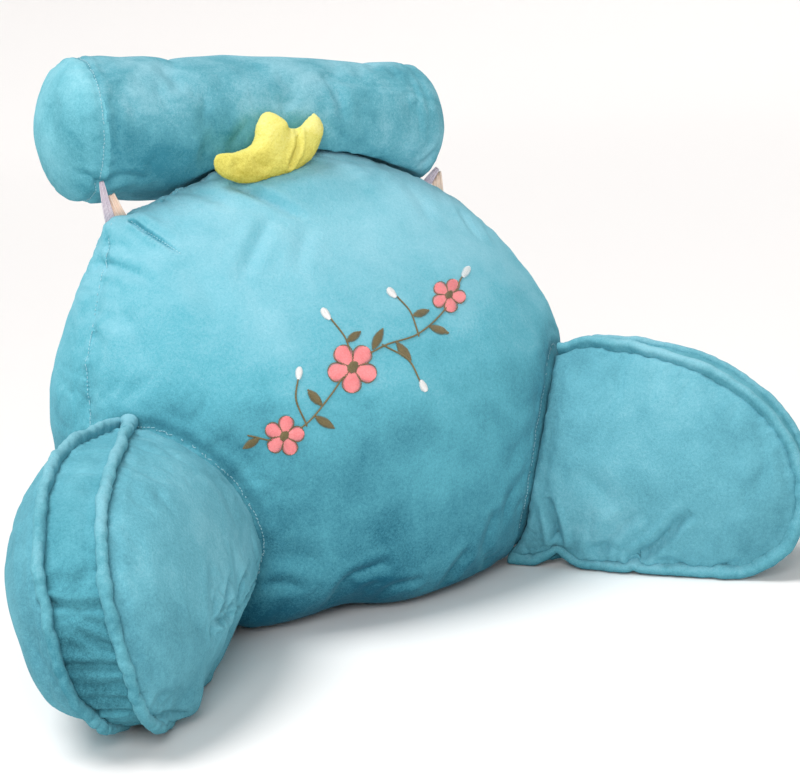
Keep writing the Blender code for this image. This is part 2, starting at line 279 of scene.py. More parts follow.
# %% Copy a solid, merge its points and remesh it
MERGE = 0.00002


def merged(node):
    """A bmesh of a solid with its loose triangles joined."""
    bm = bmesh.new()
    bm.from_mesh(nodes[node].data)
    bmesh.ops.remove_doubles(bm, verts=bm.verts, dist=MERGE)
    return bm


SEAM_ANGLE = -0.25              # an edge that folds in by more than this is sewn
RIM_ANGLE = 0.8                 # and one that folds out by more than this is a cut rim
RIM_NEAR = 0.0015               # a cut rim lies this near to the piece that it was cut for


def edges_where(node, wanted):
    """Points along the solid's edges whose signed angle is wanted."""
    bm = merged(node)
    kept = [edge for edge in bm.edges
            if len(edge.link_faces) == 2 and wanted(edge.calc_face_angle_signed(0))]
    points = [edge.verts[0].co.lerp(edge.verts[1].co, t) for edge in kept for t in (0, 0.5, 1)]
    bm.free()
    return np.array([point[:] for point in points]).reshape(-1, 3)


def sewn_edges(node):
    """The solid's inward creases, which are its seams and welt channels."""
    return edges_where(node, lambda angle: angle < SEAM_ANGLE)


def rim_line(node, other, steps=100):
    """The closed line where a solid was cut by the piece that it is sewn to."""
    points = edges_where(node, lambda angle: angle > RIM_ANGLE)
    return loop_line(points[distance_to_solids(points, [other]) < RIM_NEAR], steps, 0.06, True)


def cover(node, name, finish, voxel):
    """A remeshed copy of a solid, which replaces it."""
    piece = new_piece(name, mesh_of(merged(node), name), finish)
    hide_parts(node)
    remesh = piece.modifiers.new("even squares", "REMESH")
    remesh.mode = "VOXEL"
    remesh.voxel_size = voxel
    finished(piece)
    return piece


# %% Blow the cover up with pinned seams
FRAMES = 20
PRESSURE = 4.0
CLOTH_MASS = 0.3
CLOTH_STIFF = 12.0
CLOTH_BENDING = 0.6


def tree_of_places(places):
    """A search tree of single places."""
    tree = KDTree(len(places))
    for i, place in enumerate(places):
        tree.insert(place, i)
    tree.balance()
    return tree


def distance_to(points, places):
    """How far each point is from the nearest of the places."""
    tree = tree_of_places(places)
    return np.array([tree.find(point)[2] for point in points])


def distance_to_solids(points, names):
    """How far each point is from the nearest of these solids."""
    trees = [tree_of(nodes[name]) for name in names]
    return np.array([min(tree.find_nearest(point)[3] for tree in trees) for point in points])


def fade_out(distance, full, none):
    """1 up to the full distance, then smoothly down to 0."""
    t = np.clip((none - distance) / (none - full), 0, 1)
    return t * t * (3 - 2 * t)


def blow_up(piece, held, cap, growth):
    """Cloth simulation: held is 1 where a point is sewn down, and growth is spare cloth."""
    start = points_of(piece)
    group = piece.vertex_groups.new(name="sewn")
    for i, weight in enumerate(held):
        group.add([i], float(weight), "REPLACE")
    cloth = piece.modifiers.new("filling", "CLOTH")
    settings = cloth.settings
    settings.quality = 4
    settings.mass = CLOTH_MASS
    settings.tension_stiffness = CLOTH_STIFF
    settings.compression_stiffness = CLOTH_STIFF
    settings.shear_stiffness = CLOTH_STIFF / 3
    settings.bending_stiffness = CLOTH_BENDING
    settings.use_pressure = True
    settings.uniform_pressure_force = PRESSURE
    settings.shrink_min = -growth
    settings.vertex_group_mass = "sewn"
    settings.effector_weights.gravity = 0
    cloth.collision_settings.use_collision = False
    for number in range(1, FRAMES + 1):
        bpy.context.scene.frame_set(number)
    finished(piece)
    piece.vertex_groups.clear()
    bpy.context.scene.frame_set(1)
    moved = points_of(piece) - start
    length = np.linalg.norm(moved, axis=1, keepdims=True) + 1e-9
    put_points(piece, start + moved / length * cap * np.tanh(length / cap))
    print(piece.name, "swelled by", round(float(length.mean()) * 1000, 1), "mm on average")


def divide(piece):
    """One smooth subdivision."""
    step = piece.modifiers.new("finer", "SUBSURF")
    step.levels = 1
    step.render_levels = 1
    finished(piece)


def fill(piece, seams, neighbours, smaller, cap, growth, seam_fade, pressed_fade,
         floor_fade=None):
    """Swell a cover that starts smaller, but not where it is sewn, pressed on or stands."""
    swell(piece, -smaller)
    spots = points_of(piece)
    held = fade_out(distance_to(spots, seams), *seam_fade)
    held = np.maximum(held, fade_out(distance_to_solids(spots, neighbours), *pressed_fade))
    if floor_fade:
        held = np.maximum(held, fade_out(spots[:, 2], *floor_fade))
    blow_up(piece, held, cap, growth)
    divide(piece)


def divide_beside(piece, line, reach):
    """Divide only the faces beside a line, so that it can carry a sharp seam."""
    tree = tree_of_places(line)
    bm = bmesh.new()
    bm.from_mesh(piece.data)
    for face in bm.faces:
        face.tag = tree.find(face.calc_center_median())[2] < reach
    edges = [edge for edge in bm.edges if any(face.tag for face in edge.link_faces)]
    bmesh.ops.subdivide_edges(bm, edges=edges, cuts=1, use_grid_fill=True)
    bm.to_mesh(piece.data)
    bm.free()


# %% [markdown]
# ## Pressing folds and drawing in seams
#
# A fold is a line on the cloth with a depth and a width. Points near the line move in along
# their normals, and a soft shoulder rises beside it, because the pushed-in cloth has to go
# somewhere. A negative depth raises a ridge. The fade says at which end the fold runs out.

# %% Folds
Fold = namedtuple("Fold", "line deep wide fade", defaults=("both",))
SHOULDER = 0.35                 # height of the shoulder, as a share of the depth
SHOULDER_AT = 2.0               # and its distance from the line, in widths
REACH = 4.0                     # how far a fold acts, in widths
ROUND = 0.2                     # how round its bottom is, in widths


def fades(t, fade):
    """How strong a fold is along its line, from 0 to 1."""
    rise = np.clip(t * 3, 0, 1) ** 0.7
    fall = np.clip((1 - t) * 3, 0, 1) ** 0.7
    return {"both": rise * fall, "start": rise, "end": fall, "none": np.ones_like(t)}[fade]


def nearest_on(points, line, reach):
    """Which points lie within reach of the line, how far, and how far along it."""
    low = line.min(0) - reach
    high = line.max(0) + reach
    near = np.nonzero(((points > low) & (points < high)).all(1))[0]
    gaps = np.linalg.norm(points[near, None, :] - line[None, :, :], axis=2)
    best = gaps.argmin(1)
    distance = gaps[np.arange(len(near)), best]
    kept = distance < reach
    return near[kept], distance[kept], best[kept] / max(len(line) - 1, 1)


def groove(points, line, deep, wide, fade="none"):
    """How far each point moves along its normal for one fold."""
    near, distance, t = nearest_on(points, line, REACH * wide)
    d = distance / wide
    valley = np.exp(ROUND - np.sqrt(d ** 2 + ROUND ** 2))
    shoulder = SHOULDER * np.exp(-((d - SHOULDER_AT) ** 2))
    amount = np.zeros(len(points))
    amount[near] = -deep * fades(t, fade) * (valley - shoulder)
    return amount


def press(piece, view, folds):
    """Press all the folds, drawn in one view, into a piece."""
    tree = tree_of(piece)
    points = points_of(piece)
    amount = np.zeros(len(points))
    for fold in folds:
        line = land(tree, view, fold.line)
        if len(line) < 3:
            print("a fold missed", piece.name, fold.line[0])
            continue
        amount += groove(points, line, fold.deep * MM, fold.wide * MM, fold.fade)
    swell(piece, amount)


def draw_in(piece, line, deep, wide):
    """Draw a seam in along a line that is already on the cloth."""
    swell(piece, groove(points_of(piece), line, deep, wide))


FINER_LUMPS = 2.1               # the second layer of lumps is finer by this much
FINER_SHARE = 0.5               # and this high against the first


def uneven(piece, size, height, seed):
    """Soft lumps of the filling."""
    shift = Vector((seed * 3.1, seed * 1.7, seed * 2.3))
    lumps = [noise.noise(v.co / size + shift)
             + FINER_SHARE * noise.noise(v.co / size * FINER_LUMPS - shift)
             for v in piece.data.vertices]
    swell(piece, np.array(lumps) * height)


def pucker(piece, line, pitch, reach, height, seed=0):
    """Small gathers that run off a seam line at right angles."""
    points = points_of(piece)
    near, distance, t = nearest_on(points, line, reach * 3)
    along = t * length_of(line) / pitch
    wave = np.array([noise.noise(Vector((a * 1.6, seed * 7.7, d * 40)))
                     for a, d in zip(along, distance)])
    amount = np.zeros(len(points))
    amount[near] = height * wave * 2 * np.exp(-distance / reach)
    swell(piece, amount)


CREASE_SHARP = 3.2              # how narrow a crease is against the space between creases
CREASE_PATCH = 0.11             # creases come in patches of about this size
CREASE_DRAWN = 0.72             # how far the noise is drawn out, from 0 to 1
CREASE_LIFT = 0.3               # the cloth between creases rises by this share of their depth
CREASE_LEAST = 0.03             # where the mask is weaker than this there are none


def creases(piece, mask, along, size, height, seed):
    """Fine drag lines: the zero lines of a noise, drawn out in one direction."""
    points = points_of(piece)
    along = unit(np.array(along))
    drawn = (points - CREASE_DRAWN * np.outer(points @ along, along)) / size
    shift = Vector((seed * 5.3, seed * 2.9, seed))
    amount = np.zeros(len(points))
    for i in np.nonzero(mask > CREASE_LEAST)[0]:
        level = abs(noise.noise(Vector(drawn[i]) + shift)) * CREASE_SHARP
        patch = noise.noise(Vector(points[i]) / CREASE_PATCH - shift)
        share = mask[i] * min(max(0.5 + 2.0 * patch, 0), 1)
        amount[i] = share * (CREASE_LIFT - (1 - min(level, 1)) ** 2)
    swell(piece, amount * height)


# %% Tugs: pull the cloth at a picture point towards another one
Tug = namedtuple("Tug", "at to reach")
Pull = namedtuple("Pull", "place step reach")


def pulls_of(piece, tugs):
    """Where each tug takes hold of a piece, and its step in metres."""
    tree = tree_of(piece)
    found = []
    for each in tugs:
        place = tree.ray_cast(*picture(each.at))[0]
        if place is None:
            print("a tug missed", piece.name, each.at)
            continue
        scale = (camera_place - place).dot(backwards) / FOCAL_PIXELS
        step = (camera_right * (each.to[0] - each.at[0])
                - camera_up * (each.to[1] - each.at[1])) * scale
        found.append(Pull(np.array(place), np.array(step), each.reach * MM))
    return found


def pulled(points, pulls):
    """The points after the pulls, each with a soft edge."""
    moved = points.copy()
    for pull in pulls:
        apart = np.linalg.norm(points - pull.place, axis=1)
        moved += np.exp(-(apart / pull.reach) ** 2)[:, None] * pull.step
    return moved


def tug(piece, tugs):
    put_points(piece, pulled(points_of(piece), pulls_of(piece, tugs)))


def on_floor(piece, level=0.0005):
    """Nothing goes below the surface that the pillow stands on."""
    points = points_of(piece)
    points[:, 2] = np.maximum(points[:, 2], level)
    put_points(piece, points)


# %% [markdown]
# ## Plush
#
# Plush has a short, dense pile. It looks lighter where the pile is brushed towards the light and
# deeper where it is brushed away, so a plush colour is really two colours in soft patches, with a
# fine grain over them. On top of that the colour carries painted shade: it is lighter on faces
# that point up and higher up, and deeper on faces that point down and low down. The edges of the
# pile catch light at a grazing angle, which is what the shader's sheen is for. All patterns read
# Object coordinates, so they stay on the cloth.

# %% A small helper for node materials
def new_material(name):
    made = bpy.data.materials.new(name)
    made.use_nodes = True
    return made, made.node_tree, made.node_tree.nodes["Principled BSDF"]


def add_node(tree, kind, **values):
    """A node with some of its inputs or properties set."""
    node = tree.nodes.new(kind)
    for key, value in values.items():
        if key in node.inputs:
            node.inputs[key].default_value = value
        else:
            setattr(node, key, value)
    return node


def noise_at(tree, coords, scale, detail=2.0, rough=0.5, distortion=0.0):
    """A noise pattern on the given coordinates."""
    node = add_node(tree, "ShaderNodeTexNoise", Scale=scale, Detail=detail, Roughness=rough,
                    Distortion=distortion)
    tree.links.new(coords, node.inputs["Vector"])
    return node.outputs["Fac"]


def blend(tree, share, first, second):
    """Mix two colours, each a socket or plain numbers."""
    node = add_node(tree, "ShaderNodeMix", data_type="RGBA")
    for socket, value in (("Factor", share), ("A", first), ("B", second)):
        place = [s for s in node.inputs if s.name == socket and s.enabled][0]
        if isinstance(value, bpy.types.NodeSocket):
            tree.links.new(value, place)
        else:
            place.default_value = value
    return [s for s in node.outputs if s.enabled][0]


def bumped(tree, height, distance, strength, under=None):
    node = add_node(tree, "ShaderNodeBump", Strength=strength, Distance=distance)
    tree.links.new(height, node.inputs["Height"])
    if under is not None:
        tree.links.new(under, node.inputs["Normal"])
    return node.outputs["Normal"]


# %% The plush itself
PATCH = 6.0                     # patches of brushed pile to the metre
STROKE = 22.0                   # strokes of a hand inside them
TUFT = 340.0                    # tufts
PILE = 850.0                    # ends of the pile
STROKE_SHARE = 0.8              # how much each counts, against the patches
TUFT_SHARE = 0.45
PILE_SHARE = 0.60
NOISE_MIDDLE = 0.5              # a noise pattern lies about this value
PLUSH_ROUGH = 0.95
PLUSH_GLOSS = 0.12
SHEEN_ROUGH = 0.4


def weighed(tree, parts, start):
    """A sum of values, each times its own weight."""
    total = None
    for value, weight in parts:
        step = add_node(tree, "ShaderNodeMath", operation="MULTIPLY_ADD")
        tree.links.new(value, step.inputs[0])
        step.inputs[1].default_value = weight
        if total is None:
            step.inputs[2].default_value = start
        else:
            tree.links.new(total, step.inputs[2])
        total = step.outputs["Value"]
    return total


def plush(name, deep, middle, light, start=-1.00, painted_shade_by_facing=0.30, painted_shade_by_height=0.0, mottle=1.0,
          grain=1.0, sheen=0.25, tuft_bump=0.5):
    """Pile in soft patches between a deep and a light colour, with painted shade that is lighter
    on upward faces and higher parts.
    """
    made, tree, shader = new_material(name)
    coords = add_node(tree, "ShaderNodeTexCoord").outputs["Object"]
    place = add_node(tree, "ShaderNodeSeparateXYZ")
    tree.links.new(coords, place.inputs[0])
    normal_for_painted_shade = add_node(tree, "ShaderNodeSeparateXYZ")
    tree.links.new(add_node(tree, "ShaderNodeNewGeometry").outputs["Normal"], normal_for_painted_shade.inputs[0])
    patches = noise_at(tree, coords, PATCH, 2.0, 0.5, 0.3)
    strokes = noise_at(tree, coords, STROKE, 3.0, 0.55, 0.5)
    tufts = noise_at(tree, coords, TUFT, 2.0, 0.6)
    pile = noise_at(tree, coords, PILE, 2.0, 0.6)
    level = start - NOISE_MIDDLE * ((1 + STROKE_SHARE) * (mottle - 1)
                                    + (TUFT_SHARE + PILE_SHARE) * (grain - 1))
    # Painted shade: the normal's height and the point's height lighten upward faces and higher
    # parts, and deepen downward faces and low parts.
    tone_and_painted_shade = weighed(tree, [(normal_for_painted_shade.outputs["Z"], painted_shade_by_facing), (place.outputs["Z"], painted_shade_by_height),
                         (patches, mottle), (strokes, STROKE_SHARE * mottle),
                         (tufts, TUFT_SHARE * grain), (pile, PILE_SHARE * grain)], level)
    shades = add_node(tree, "ShaderNodeValToRGB")
    stops = shades.color_ramp.elements
    stops[0].position, stops[0].color = 0.0, (*deep, 1)
    stops[1].position, stops[1].color = 1.0, (*light, 1)
    stops.new(0.5).color = (*middle, 1)
    tree.links.new(tone_and_painted_shade, shades.inputs["Fac"])
    tree.links.new(shades.outputs["Color"], shader.inputs["Base Color"])
    shader.inputs["Roughness"].default_value = PLUSH_ROUGH
    shader.inputs["Specular IOR Level"].default_value = PLUSH_GLOSS
    shader.inputs["Sheen Weight"].default_value = sheen
    shader.inputs["Sheen Roughness"].default_value = SHEEN_ROUGH
    shader.inputs["Sheen Tint"].default_value = (*light, 1)
    soft = bumped(tree, strokes, 0.0015, 0.30)
    soft = bumped(tree, tufts, 0.0012, tuft_bump, soft)
    soft = bumped(tree, pile, 0.0006, 0.60, soft)
    tree.links.new(soft, shader.inputs["Normal"])
    return made


# Painted shade in every plush: the facing and height weights make upward faces and higher parts
# lighter, downward faces and low parts deeper.
PLUSH_BODY = plush("plush_body", (0.008, 0.100, 0.160), (0.116, 0.425, 0.520),
                   (0.345, 0.640, 0.740), start=-1.19, painted_shade_by_facing=0.32, painted_shade_by_height=0.62,
                   mottle=0.45, grain=0.60)
PLUSH_ARM = plush("plush_arm", (0.066, 0.240, 0.306), (0.134, 0.402, 0.488),
                  (0.250, 0.550, 0.640), start=-1.06, painted_shade_by_facing=0.10, painted_shade_by_height=0.10, sheen=0.18)
# Painted shade: a deeper plush whose steep height weight darkens the strip towards the floor.
PLUSH_STRIP_PAINTED_SHADE = plush("plush_strip_painted_shade", (0.026, 0.130, 0.172), (0.086, 0.325, 0.400),
                    (0.168, 0.475, 0.570), start=-1.28, painted_shade_by_facing=0.10, painted_shade_by_height=2.00, sheen=0.18)
PLUSH_WELT = plush("plush_welt", (0.048, 0.220, 0.285), (0.122, 0.375, 0.450),
                   (0.250, 0.530, 0.620), start=-1.08, painted_shade_by_facing=0.30, painted_shade_by_height=0.60)
PLUSH_ROLL = plush("plush_roll", (0.040, 0.215, 0.285), (0.115, 0.370, 0.450),
                   (0.280, 0.560, 0.650), start=-0.98, painted_shade_by_facing=0.25, mottle=1.50)
# Painted light: a lighter copy of the roll's plush for the left end panel, which faces the light.
PLUSH_ROLL_END_PAINTED_LIGHT = plush("plush_roll_end_painted_light", (0.060, 0.280, 0.350), (0.165, 0.480, 0.570),
                       (0.310, 0.650, 0.740), start=-0.98, painted_shade_by_facing=0.35, mottle=1.20)
PLUSH_YELLOW = plush("plush_yellow", (0.480, 0.380, 0.050), (0.760, 0.690, 0.160),
                     (0.860, 0.820, 0.340), painted_shade_by_facing=0.35)
print("plush finishes:", [m.name for m in bpy.data.materials if m.name.startswith("plush")])

# %% [markdown]
# ## The backrest
#
# The backrest is a darted front panel, a gusset on each side and a back panel around one
# filling. Its sewn edges and the places where the arms and the roll press on it are held, and
# the rest swells.

# %% Backrest: cover and filling
BACKREST_VOXEL = 0.0072

backrest = cover("backrest", "backrest_cover", PLUSH_BODY, BACKREST_VOXEL)
fill(backrest, sewn_edges("backrest"), ["arm_left", "arm_right", "neck_roll"], smaller=0.003,
     cap=0.007, growth=0.015, seam_fade=(0.004, 0.012), pressed_fade=(0.004, 0.020),
     floor_fade=(0.004, 0.016))
uneven(backrest, 0.10, 0.0022, seed=1)
print("backrest:", len(backrest.data.polygons), "faces")

# %% [markdown]
# The backrest has four upright seams, where the gussets meet the front and the back panel, and
# a loop on each side where an arm is sewn on. They are read off the solids, drawn in a little
# more, and the cloth beside them is gathered.

# %% Backrest: seams and the gathers beside them
FRONT_SEAMS_BEFORE = 0.0615     # a seam point nearer to the front than this is the front panel's
SEAM_PITCH = 0.004
SEAM_FINE = 0.006               # the cloth is divided once more this far beside a seam

creased = sewn_edges("backrest")
body_seams = []
for side in (-1, 1):
    for before in (True, False):
        mine = (creased[:, 0] * side > 0) & ((creased[:, 1] < FRONT_SEAMS_BEFORE) == before)
        run = creased[mine]
        body_seams.append(evenly(run[np.argsort(run[:, 2])], SEAM_PITCH))
arm_seams = {side: evenly(rim_line(f"arm_{side}", "backrest"), SEAM_PITCH)
             for side in ("left", "right")}
for number, line in enumerate(body_seams):
    divide_beside(backrest, line, SEAM_FINE)
    draw_in(backrest, line, 0.0024, 0.0026)
    pucker(backrest, line, 0.022, 0.015, 0.0018, number)
for number, line in enumerate(arm_seams.values()):
    draw_in(backrest, line, 0.0040, 0.0060)
    pucker(backrest, line, 0.018, 0.012, 0.0008, number + 10)
near_seams = fade_out(distance_to(points_of(backrest), np.vstack(body_seams)), 0.02, 0.10)
near_arms = fade_out(distance_to(points_of(backrest), np.vstack(list(arm_seams.values()))),
                     0.02, 0.12)
creases(backrest, near_seams, (1.0, 0.2, -0.5), 0.022, 0.0018, seed=2)
creases(backrest, near_arms, (1.0, 0.0, 0.35), 0.030, 0.0011, seed=6)
print("seams of the backrest:", len(body_seams), "and", len(arm_seams), "arm loops")

# %% [markdown]
# The front panel is shaped by short darts at its upper corners. A dart is a seam that ends in the
# cloth, so it is a sharp fold with a ridge on each side. The other folds fan out from the places
# where the filling pulls: the roll, the gussets, the arms and the floor.

# %% Backrest: darts and folds that the photograph shows
LEFT_DART = [(131, 221), (142, 229), (160, 240), (181, 254)]
RIGHT_DART = [(459, 206), (465, 218), (479, 240)]

tug(backrest, [
    Tug((120, 232), (108, 221), 16.0),
    Tug((140, 222), (143, 216), 14.0),
    Tug((520, 262), (515, 266), 70.0),
    Tug((66, 330), (70, 331), 80.0),
    Tug((350, 610), (350, 593), 45.0),
    Tug((268, 618), (262, 624), 26.0),
    Tug((246, 612), (233, 616), 22.0),
])
for reach in (0.008, 0.005):
    divide_beside(backrest, land(tree_of(backrest), picture, LEFT_DART), reach)
press(backrest, picture, [
    Fold([(130, 226), (146, 238), (174, 256)], -3.0, 3.4, "end"),
    Fold([(138, 213), (158, 226), (186, 242)], -2.2, 6.0, "end"),
    Fold(LEFT_DART, 4.2, 2.0, "end"),
    Fold(RIGHT_DART, 3.0, 5.5),
    Fold([(470, 212), (482, 230), (492, 246)], -2.0, 7.0),
    Fold([(226, 182), (266, 198), (308, 220)], 6.2, 6.0),
    Fold([(271, 216), (258, 242), (238, 284)], 4.6, 7.5),
    Fold([(312, 222), (302, 246), (298, 274)], 2.6, 8.0),
    Fold([(98, 262), (124, 268), (156, 284)], 5.0, 6.0, "end"),
    Fold([(108, 300), (134, 330), (146, 376)], 3.6, 11.0),
    Fold([(176, 262), (206, 290), (222, 330)], 2.2, 12.0),
    Fold([(176, 190), (205, 196), (240, 208)], 2.4, 8.0),
    Fold([(400, 176), (420, 200), (432, 226)], 2.4, 9.0),
    Fold([(345, 156), (372, 172), (396, 196)], 1.8, 10.0),
    Fold([(330, 606), (350, 580), (384, 566)], 6.0, 7.5, "start"),
    Fold([(372, 604), (392, 588), (416, 582)], 4.0, 6.0, "start"),
    Fold([(430, 600), (446, 580), (464, 558)], 4.5, 7.5, "start"),
    Fold([(488, 572), (486, 548), (494, 520)], 4.5, 8.0, "start"),
    Fold([(528, 470), (510, 500), (500, 530)], 3.5, 9.0),
    Fold([(546, 420), (520, 446), (508, 476)], 2.8, 10.0),
    Fold([(268, 560), (300, 556), (330, 566)], 2.6, 12.0),
    Fold([(262, 590), (284, 584), (306, 590)], 3.5, 7.0),
    Fold([(205, 448), (232, 452), (262, 474)], 2.2, 11.0),
])
press(backrest, back, [
    Fold([(-0.12, 0.02), (-0.10, 0.07), (-0.06, 0.12)], 5.0, 9.0, "start"),
    Fold([(0.05, 0.02), (0.07, 0.08), (0.05, 0.14)], 5.0, 9.0, "start"),
    Fold([(0.15, 0.02), (0.16, 0.07), (0.20, 0.12)], 4.0, 8.0, "start"),
    Fold([(-0.24, 0.22), (-0.17, 0.26), (-0.10, 0.27)], 4.0, 11.0, "end"),
    Fold([(0.25, 0.20), (0.19, 0.22), (0.12, 0.20)], 4.0, 11.0, "end"),
    Fold([(0.20, 0.37), (0.13, 0.36), (0.06, 0.38)], 4.0, 9.0, "end"),
    Fold([(-0.19, 0.38), (-0.14, 0.35), (-0.08, 0.35)], 4.0, 9.0, "end"),
])
on_floor(backrest)

# %% [markdown]
# ## The arms
#
# Each arm is a filled D: an inner and an outer panel joined by a boxing strip. The arm is sewn
# to the backrest, so the edge of its cover is pulled down on to the backrest's cover, with no
# gap between the two. The strip is cut longer than it needs to be and gathered, which shows as
# cross folds in its lower half.

# %% Arms: how the edge is sewn to the backrest
ARM_VOXEL = 0.0048
SEWN_REACH = 0.009              # the cover's edge is pulled down from this far away
SEWN_FULL = SEWN_REACH * 0.3    # and all the way from here
SEWN_GAP = 0.0004


def sew_to(piece, other):
    """Pull the part of a cover that nearly touches another one down on to it."""
    tree = tree_of(other)
    points = points_of(piece)
    for i, point in enumerate(points):
        place, normal, _, distance = tree.find_nearest(point, SEWN_REACH)
        if place is None:
            continue
        outside = (Vector(point) - place).dot(normal)
        share = float(fade_out(np.array(distance), SEWN_FULL, SEWN_REACH))
        if outside < SEWN_GAP:
            share = 1.0
        points[i] = Vector(point).lerp(place + normal * SEWN_GAP, share)
    put_points(piece, points)


# %% Arms: cover and filling
arms = {}
for side, seed in (("left", 3), ("right", 5)):
    node = f"arm_{side}"
    arm = cover(node, f"arm_{side}_cover", PLUSH_ARM, ARM_VOXEL)
    fill(arm, sewn_edges(node), ["backrest"], smaller=0.002, cap=0.006, growth=0.02,
         seam_fade=(0.005, 0.014), pressed_fade=(0.004, 0.018), floor_fade=(0.003, 0.014))
    uneven(arm, 0.07, 0.0018, seed)
    arms[side] = arm
    print(arm.name, len(arm.data.polygons), "faces")

# %% [markdown]
# The arms have settled a little to one side on the floor, so a few tugs on the picture move their
# covers. A welt is sewn between the strip and each panel. Its middle line is found from its
# solid: the solid's points lie round a loop, so they are averaged by their angle in it.

# %% The arms as they have settled, the welts' lines and the gathers along them
ARM_TUGS = {
    "left": [Tug((236, 620), (224, 622), 18.0), Tug((214, 668), (207, 668), 18.0),
             Tug((188, 698), (198, 708), 20.0), Tug((60, 700), (54, 706), 40.0)],
    "right": [Tug((556, 558), (557, 541), 17.0), Tug((566, 345), (566, 353), 18.0),
              Tug((634, 566), (634, 562), 10.0), Tug((740, 560), (741, 564), 40.0)],
}
WELT_POINTS = 48
WELT_PITCH = 0.0026             # distance from ring to ring
WELT_RADIUS = 0.0056
Lump = namedtuple("Lump", "size height")
WELT_WANDER = [Lump(0.031, 0.0020), Lump(0.0095, 0.0013)]   # how it strays from a smooth line
LOW_WANDER = 1.2                # and how much more of that there is near the floor
WANDER_SEED = 1                 # without a seed, noise_vector would differ in every run
UNEVEN = {"left": 1.0, "right": 0.55}       # the right arm's welts lie smoother
SEAM_FOLLOWS = 0.016            # the cloth strays with it this far beside it

arm_pulls = {side: pulls_of(arms[side], ARM_TUGS[side]) for side in arms}
for side, arm in arms.items():
    put_points(arm, pulled(points_of(arm), arm_pulls[side]))
noise.seed_set(WANDER_SEED)
welt_lines = {}
for number, node in enumerate(sorted(n for n in nodes if n.startswith("welt"))):
    side = node.split("_")[1]
    ring = loop_line(points_of(nodes[node]), WELT_POINTS)
    line = pulled(evenly(curve_through(ring), WELT_PITCH), arm_pulls[side])
    smooth = line.copy()
    low = UNEVEN[side] * (1 + LOW_WANDER * fade_out(line[:, 2], 0.05, 0.17))
    shift = Vector((number, 0, 0))
    for each in WELT_WANDER:
        line += np.array([noise.noise_vector(Vector(point) / each.size + shift)[:]
                          for point in line]) * each.height * low[:, None]
    line[:, 2] = np.maximum(line[:, 2], WELT_RADIUS + 0.0010)
    welt_lines[node] = line
    spots = points_of(arms[side])
    near, distance, t = nearest_on(spots, smooth, SEAM_FOLLOWS)
    strayed = (line - smooth)[np.round(t * (len(line) - 1)).astype(int)]
    spots[near] += strayed * fade_out(distance, 0.004, SEAM_FOLLOWS)[:, None]
    put_points(arms[side], spots)
    draw_in(arms[side], line, 0.0028, 0.0042)
    pucker(arms[side], line, 0.013, 0.016, 0.0016, number + 20)
    print(node, "runs", round(length_of(line), 2), "m")

# %% [markdown]
# The strip is gathered across its lower half. Each panel has a few long folds that start where
# the arm is sewn to the backrest or where it stands on the floor.

# %% Arms: folds
press(arms["left"], picture, [
    Fold([(46, 593), (70, 599), (100, 597)], -2.6, 4.0, "none"),
    Fold([(44, 602), (70, 609), (104, 606)], 5.4, 4.0, "none"),
    Fold([(46, 622), (76, 618), (108, 628)], 3.4, 3.6),
    Fold([(74, 632), (94, 642), (114, 648)], 6.4, 3.8, "start"),
    Fold([(54, 644), (76, 648), (96, 652)], 2.6, 5.0),
    Fold([(60, 667), (90, 667), (120, 668)], 7.0, 3.6, "none"),
    Fold([(68, 686), (100, 688), (128, 684)], 4.0, 4.0, "none"),
    Fold([(76, 700), (100, 698), (130, 700)], 2.6, 3.4, "none"),
    Fold([(82, 712), (108, 712), (138, 711)], 6.0, 3.2, "none"),
    Fold([(40, 578), (70, 582), (98, 576)], 2.0, 5.0),
    Fold([(36, 552), (60, 556), (94, 551)], 1.4, 6.0),
    Fold([(222, 624), (240, 606), (253, 584), (261, 556)], 9.5, 3.6, "end"),
    Fold([(221, 621), (234, 600), (245, 576), (252, 552)], 8.5, 3.6, "end"),
    Fold([(219, 620), (226, 596), (233, 572)], 9.5, 4.0, "end"),
    Fold([(214, 632), (218, 606), (221, 584)], 6.0, 5.0, "end"),
    Fold([(214, 616), (214, 588), (216, 566)], 4.0, 8.0, "end"),
    Fold([(218, 634), (200, 628), (180, 632)], 3.0, 8.0, "end"),
    Fold([(148, 720), (165, 716), (190, 713)], 7.0, 3.6),
    Fold([(152, 702), (168, 696), (186, 700)], 2.5, 6.0),
    Fold([(128, 440), (150, 450), (180, 458)], 3.4, 6.0),
    Fold([(116, 464), (140, 466), (166, 480)], 2.6, 8.0),
    Fold([(150, 486), (160, 492), (156, 500)], 1.8, 5.0),
    Fold([(206, 470), (226, 496), (238, 530)], 2.0, 10.0),
    Fold([(104, 560), (112, 600), (124, 640)], 2.2, 8.0),
    Fold([(22, 470), (10, 520), (8, 566)], 2.5, 9.0),
    Fold([(20, 620), (34, 650), (52, 682)], 3.0, 8.0),
])
press(arms["right"], picture, [
    Fold([(557, 548), (554, 528), (546, 496)], 15.0, 5.2, "end"),
    Fold([(566, 548), (572, 532), (584, 514)], 3.0, 8.0, "end"),
    Fold([(634, 560), (656, 545), (676, 525), (692, 511)], 11.0, 5.6, "end"),
    Fold([(648, 544), (672, 528), (690, 518)], -3.0, 6.0, "end"),
    Fold([(598, 550), (618, 528), (642, 510)], 5.0, 7.0, "end"),
    Fold([(590, 552), (606, 548), (630, 552)], 3.0, 5.0),
    Fold([(686, 572), (712, 570), (742, 560)], 5.0, 4.0, "end"),
    Fold([(640, 562), (670, 562), (700, 570)], 3.5, 4.5),
    Fold([(575, 470), (600, 490), (622, 516)], 2.4, 11.0),
    Fold([(574, 350), (600, 354), (640, 364)], 2.0, 9.0),
    Fold([(620, 380), (634, 378), (648, 386)], 1.2, 6.0),
    Fold([(760, 420), (764, 460), (758, 500)], 2.0, 9.0),
])
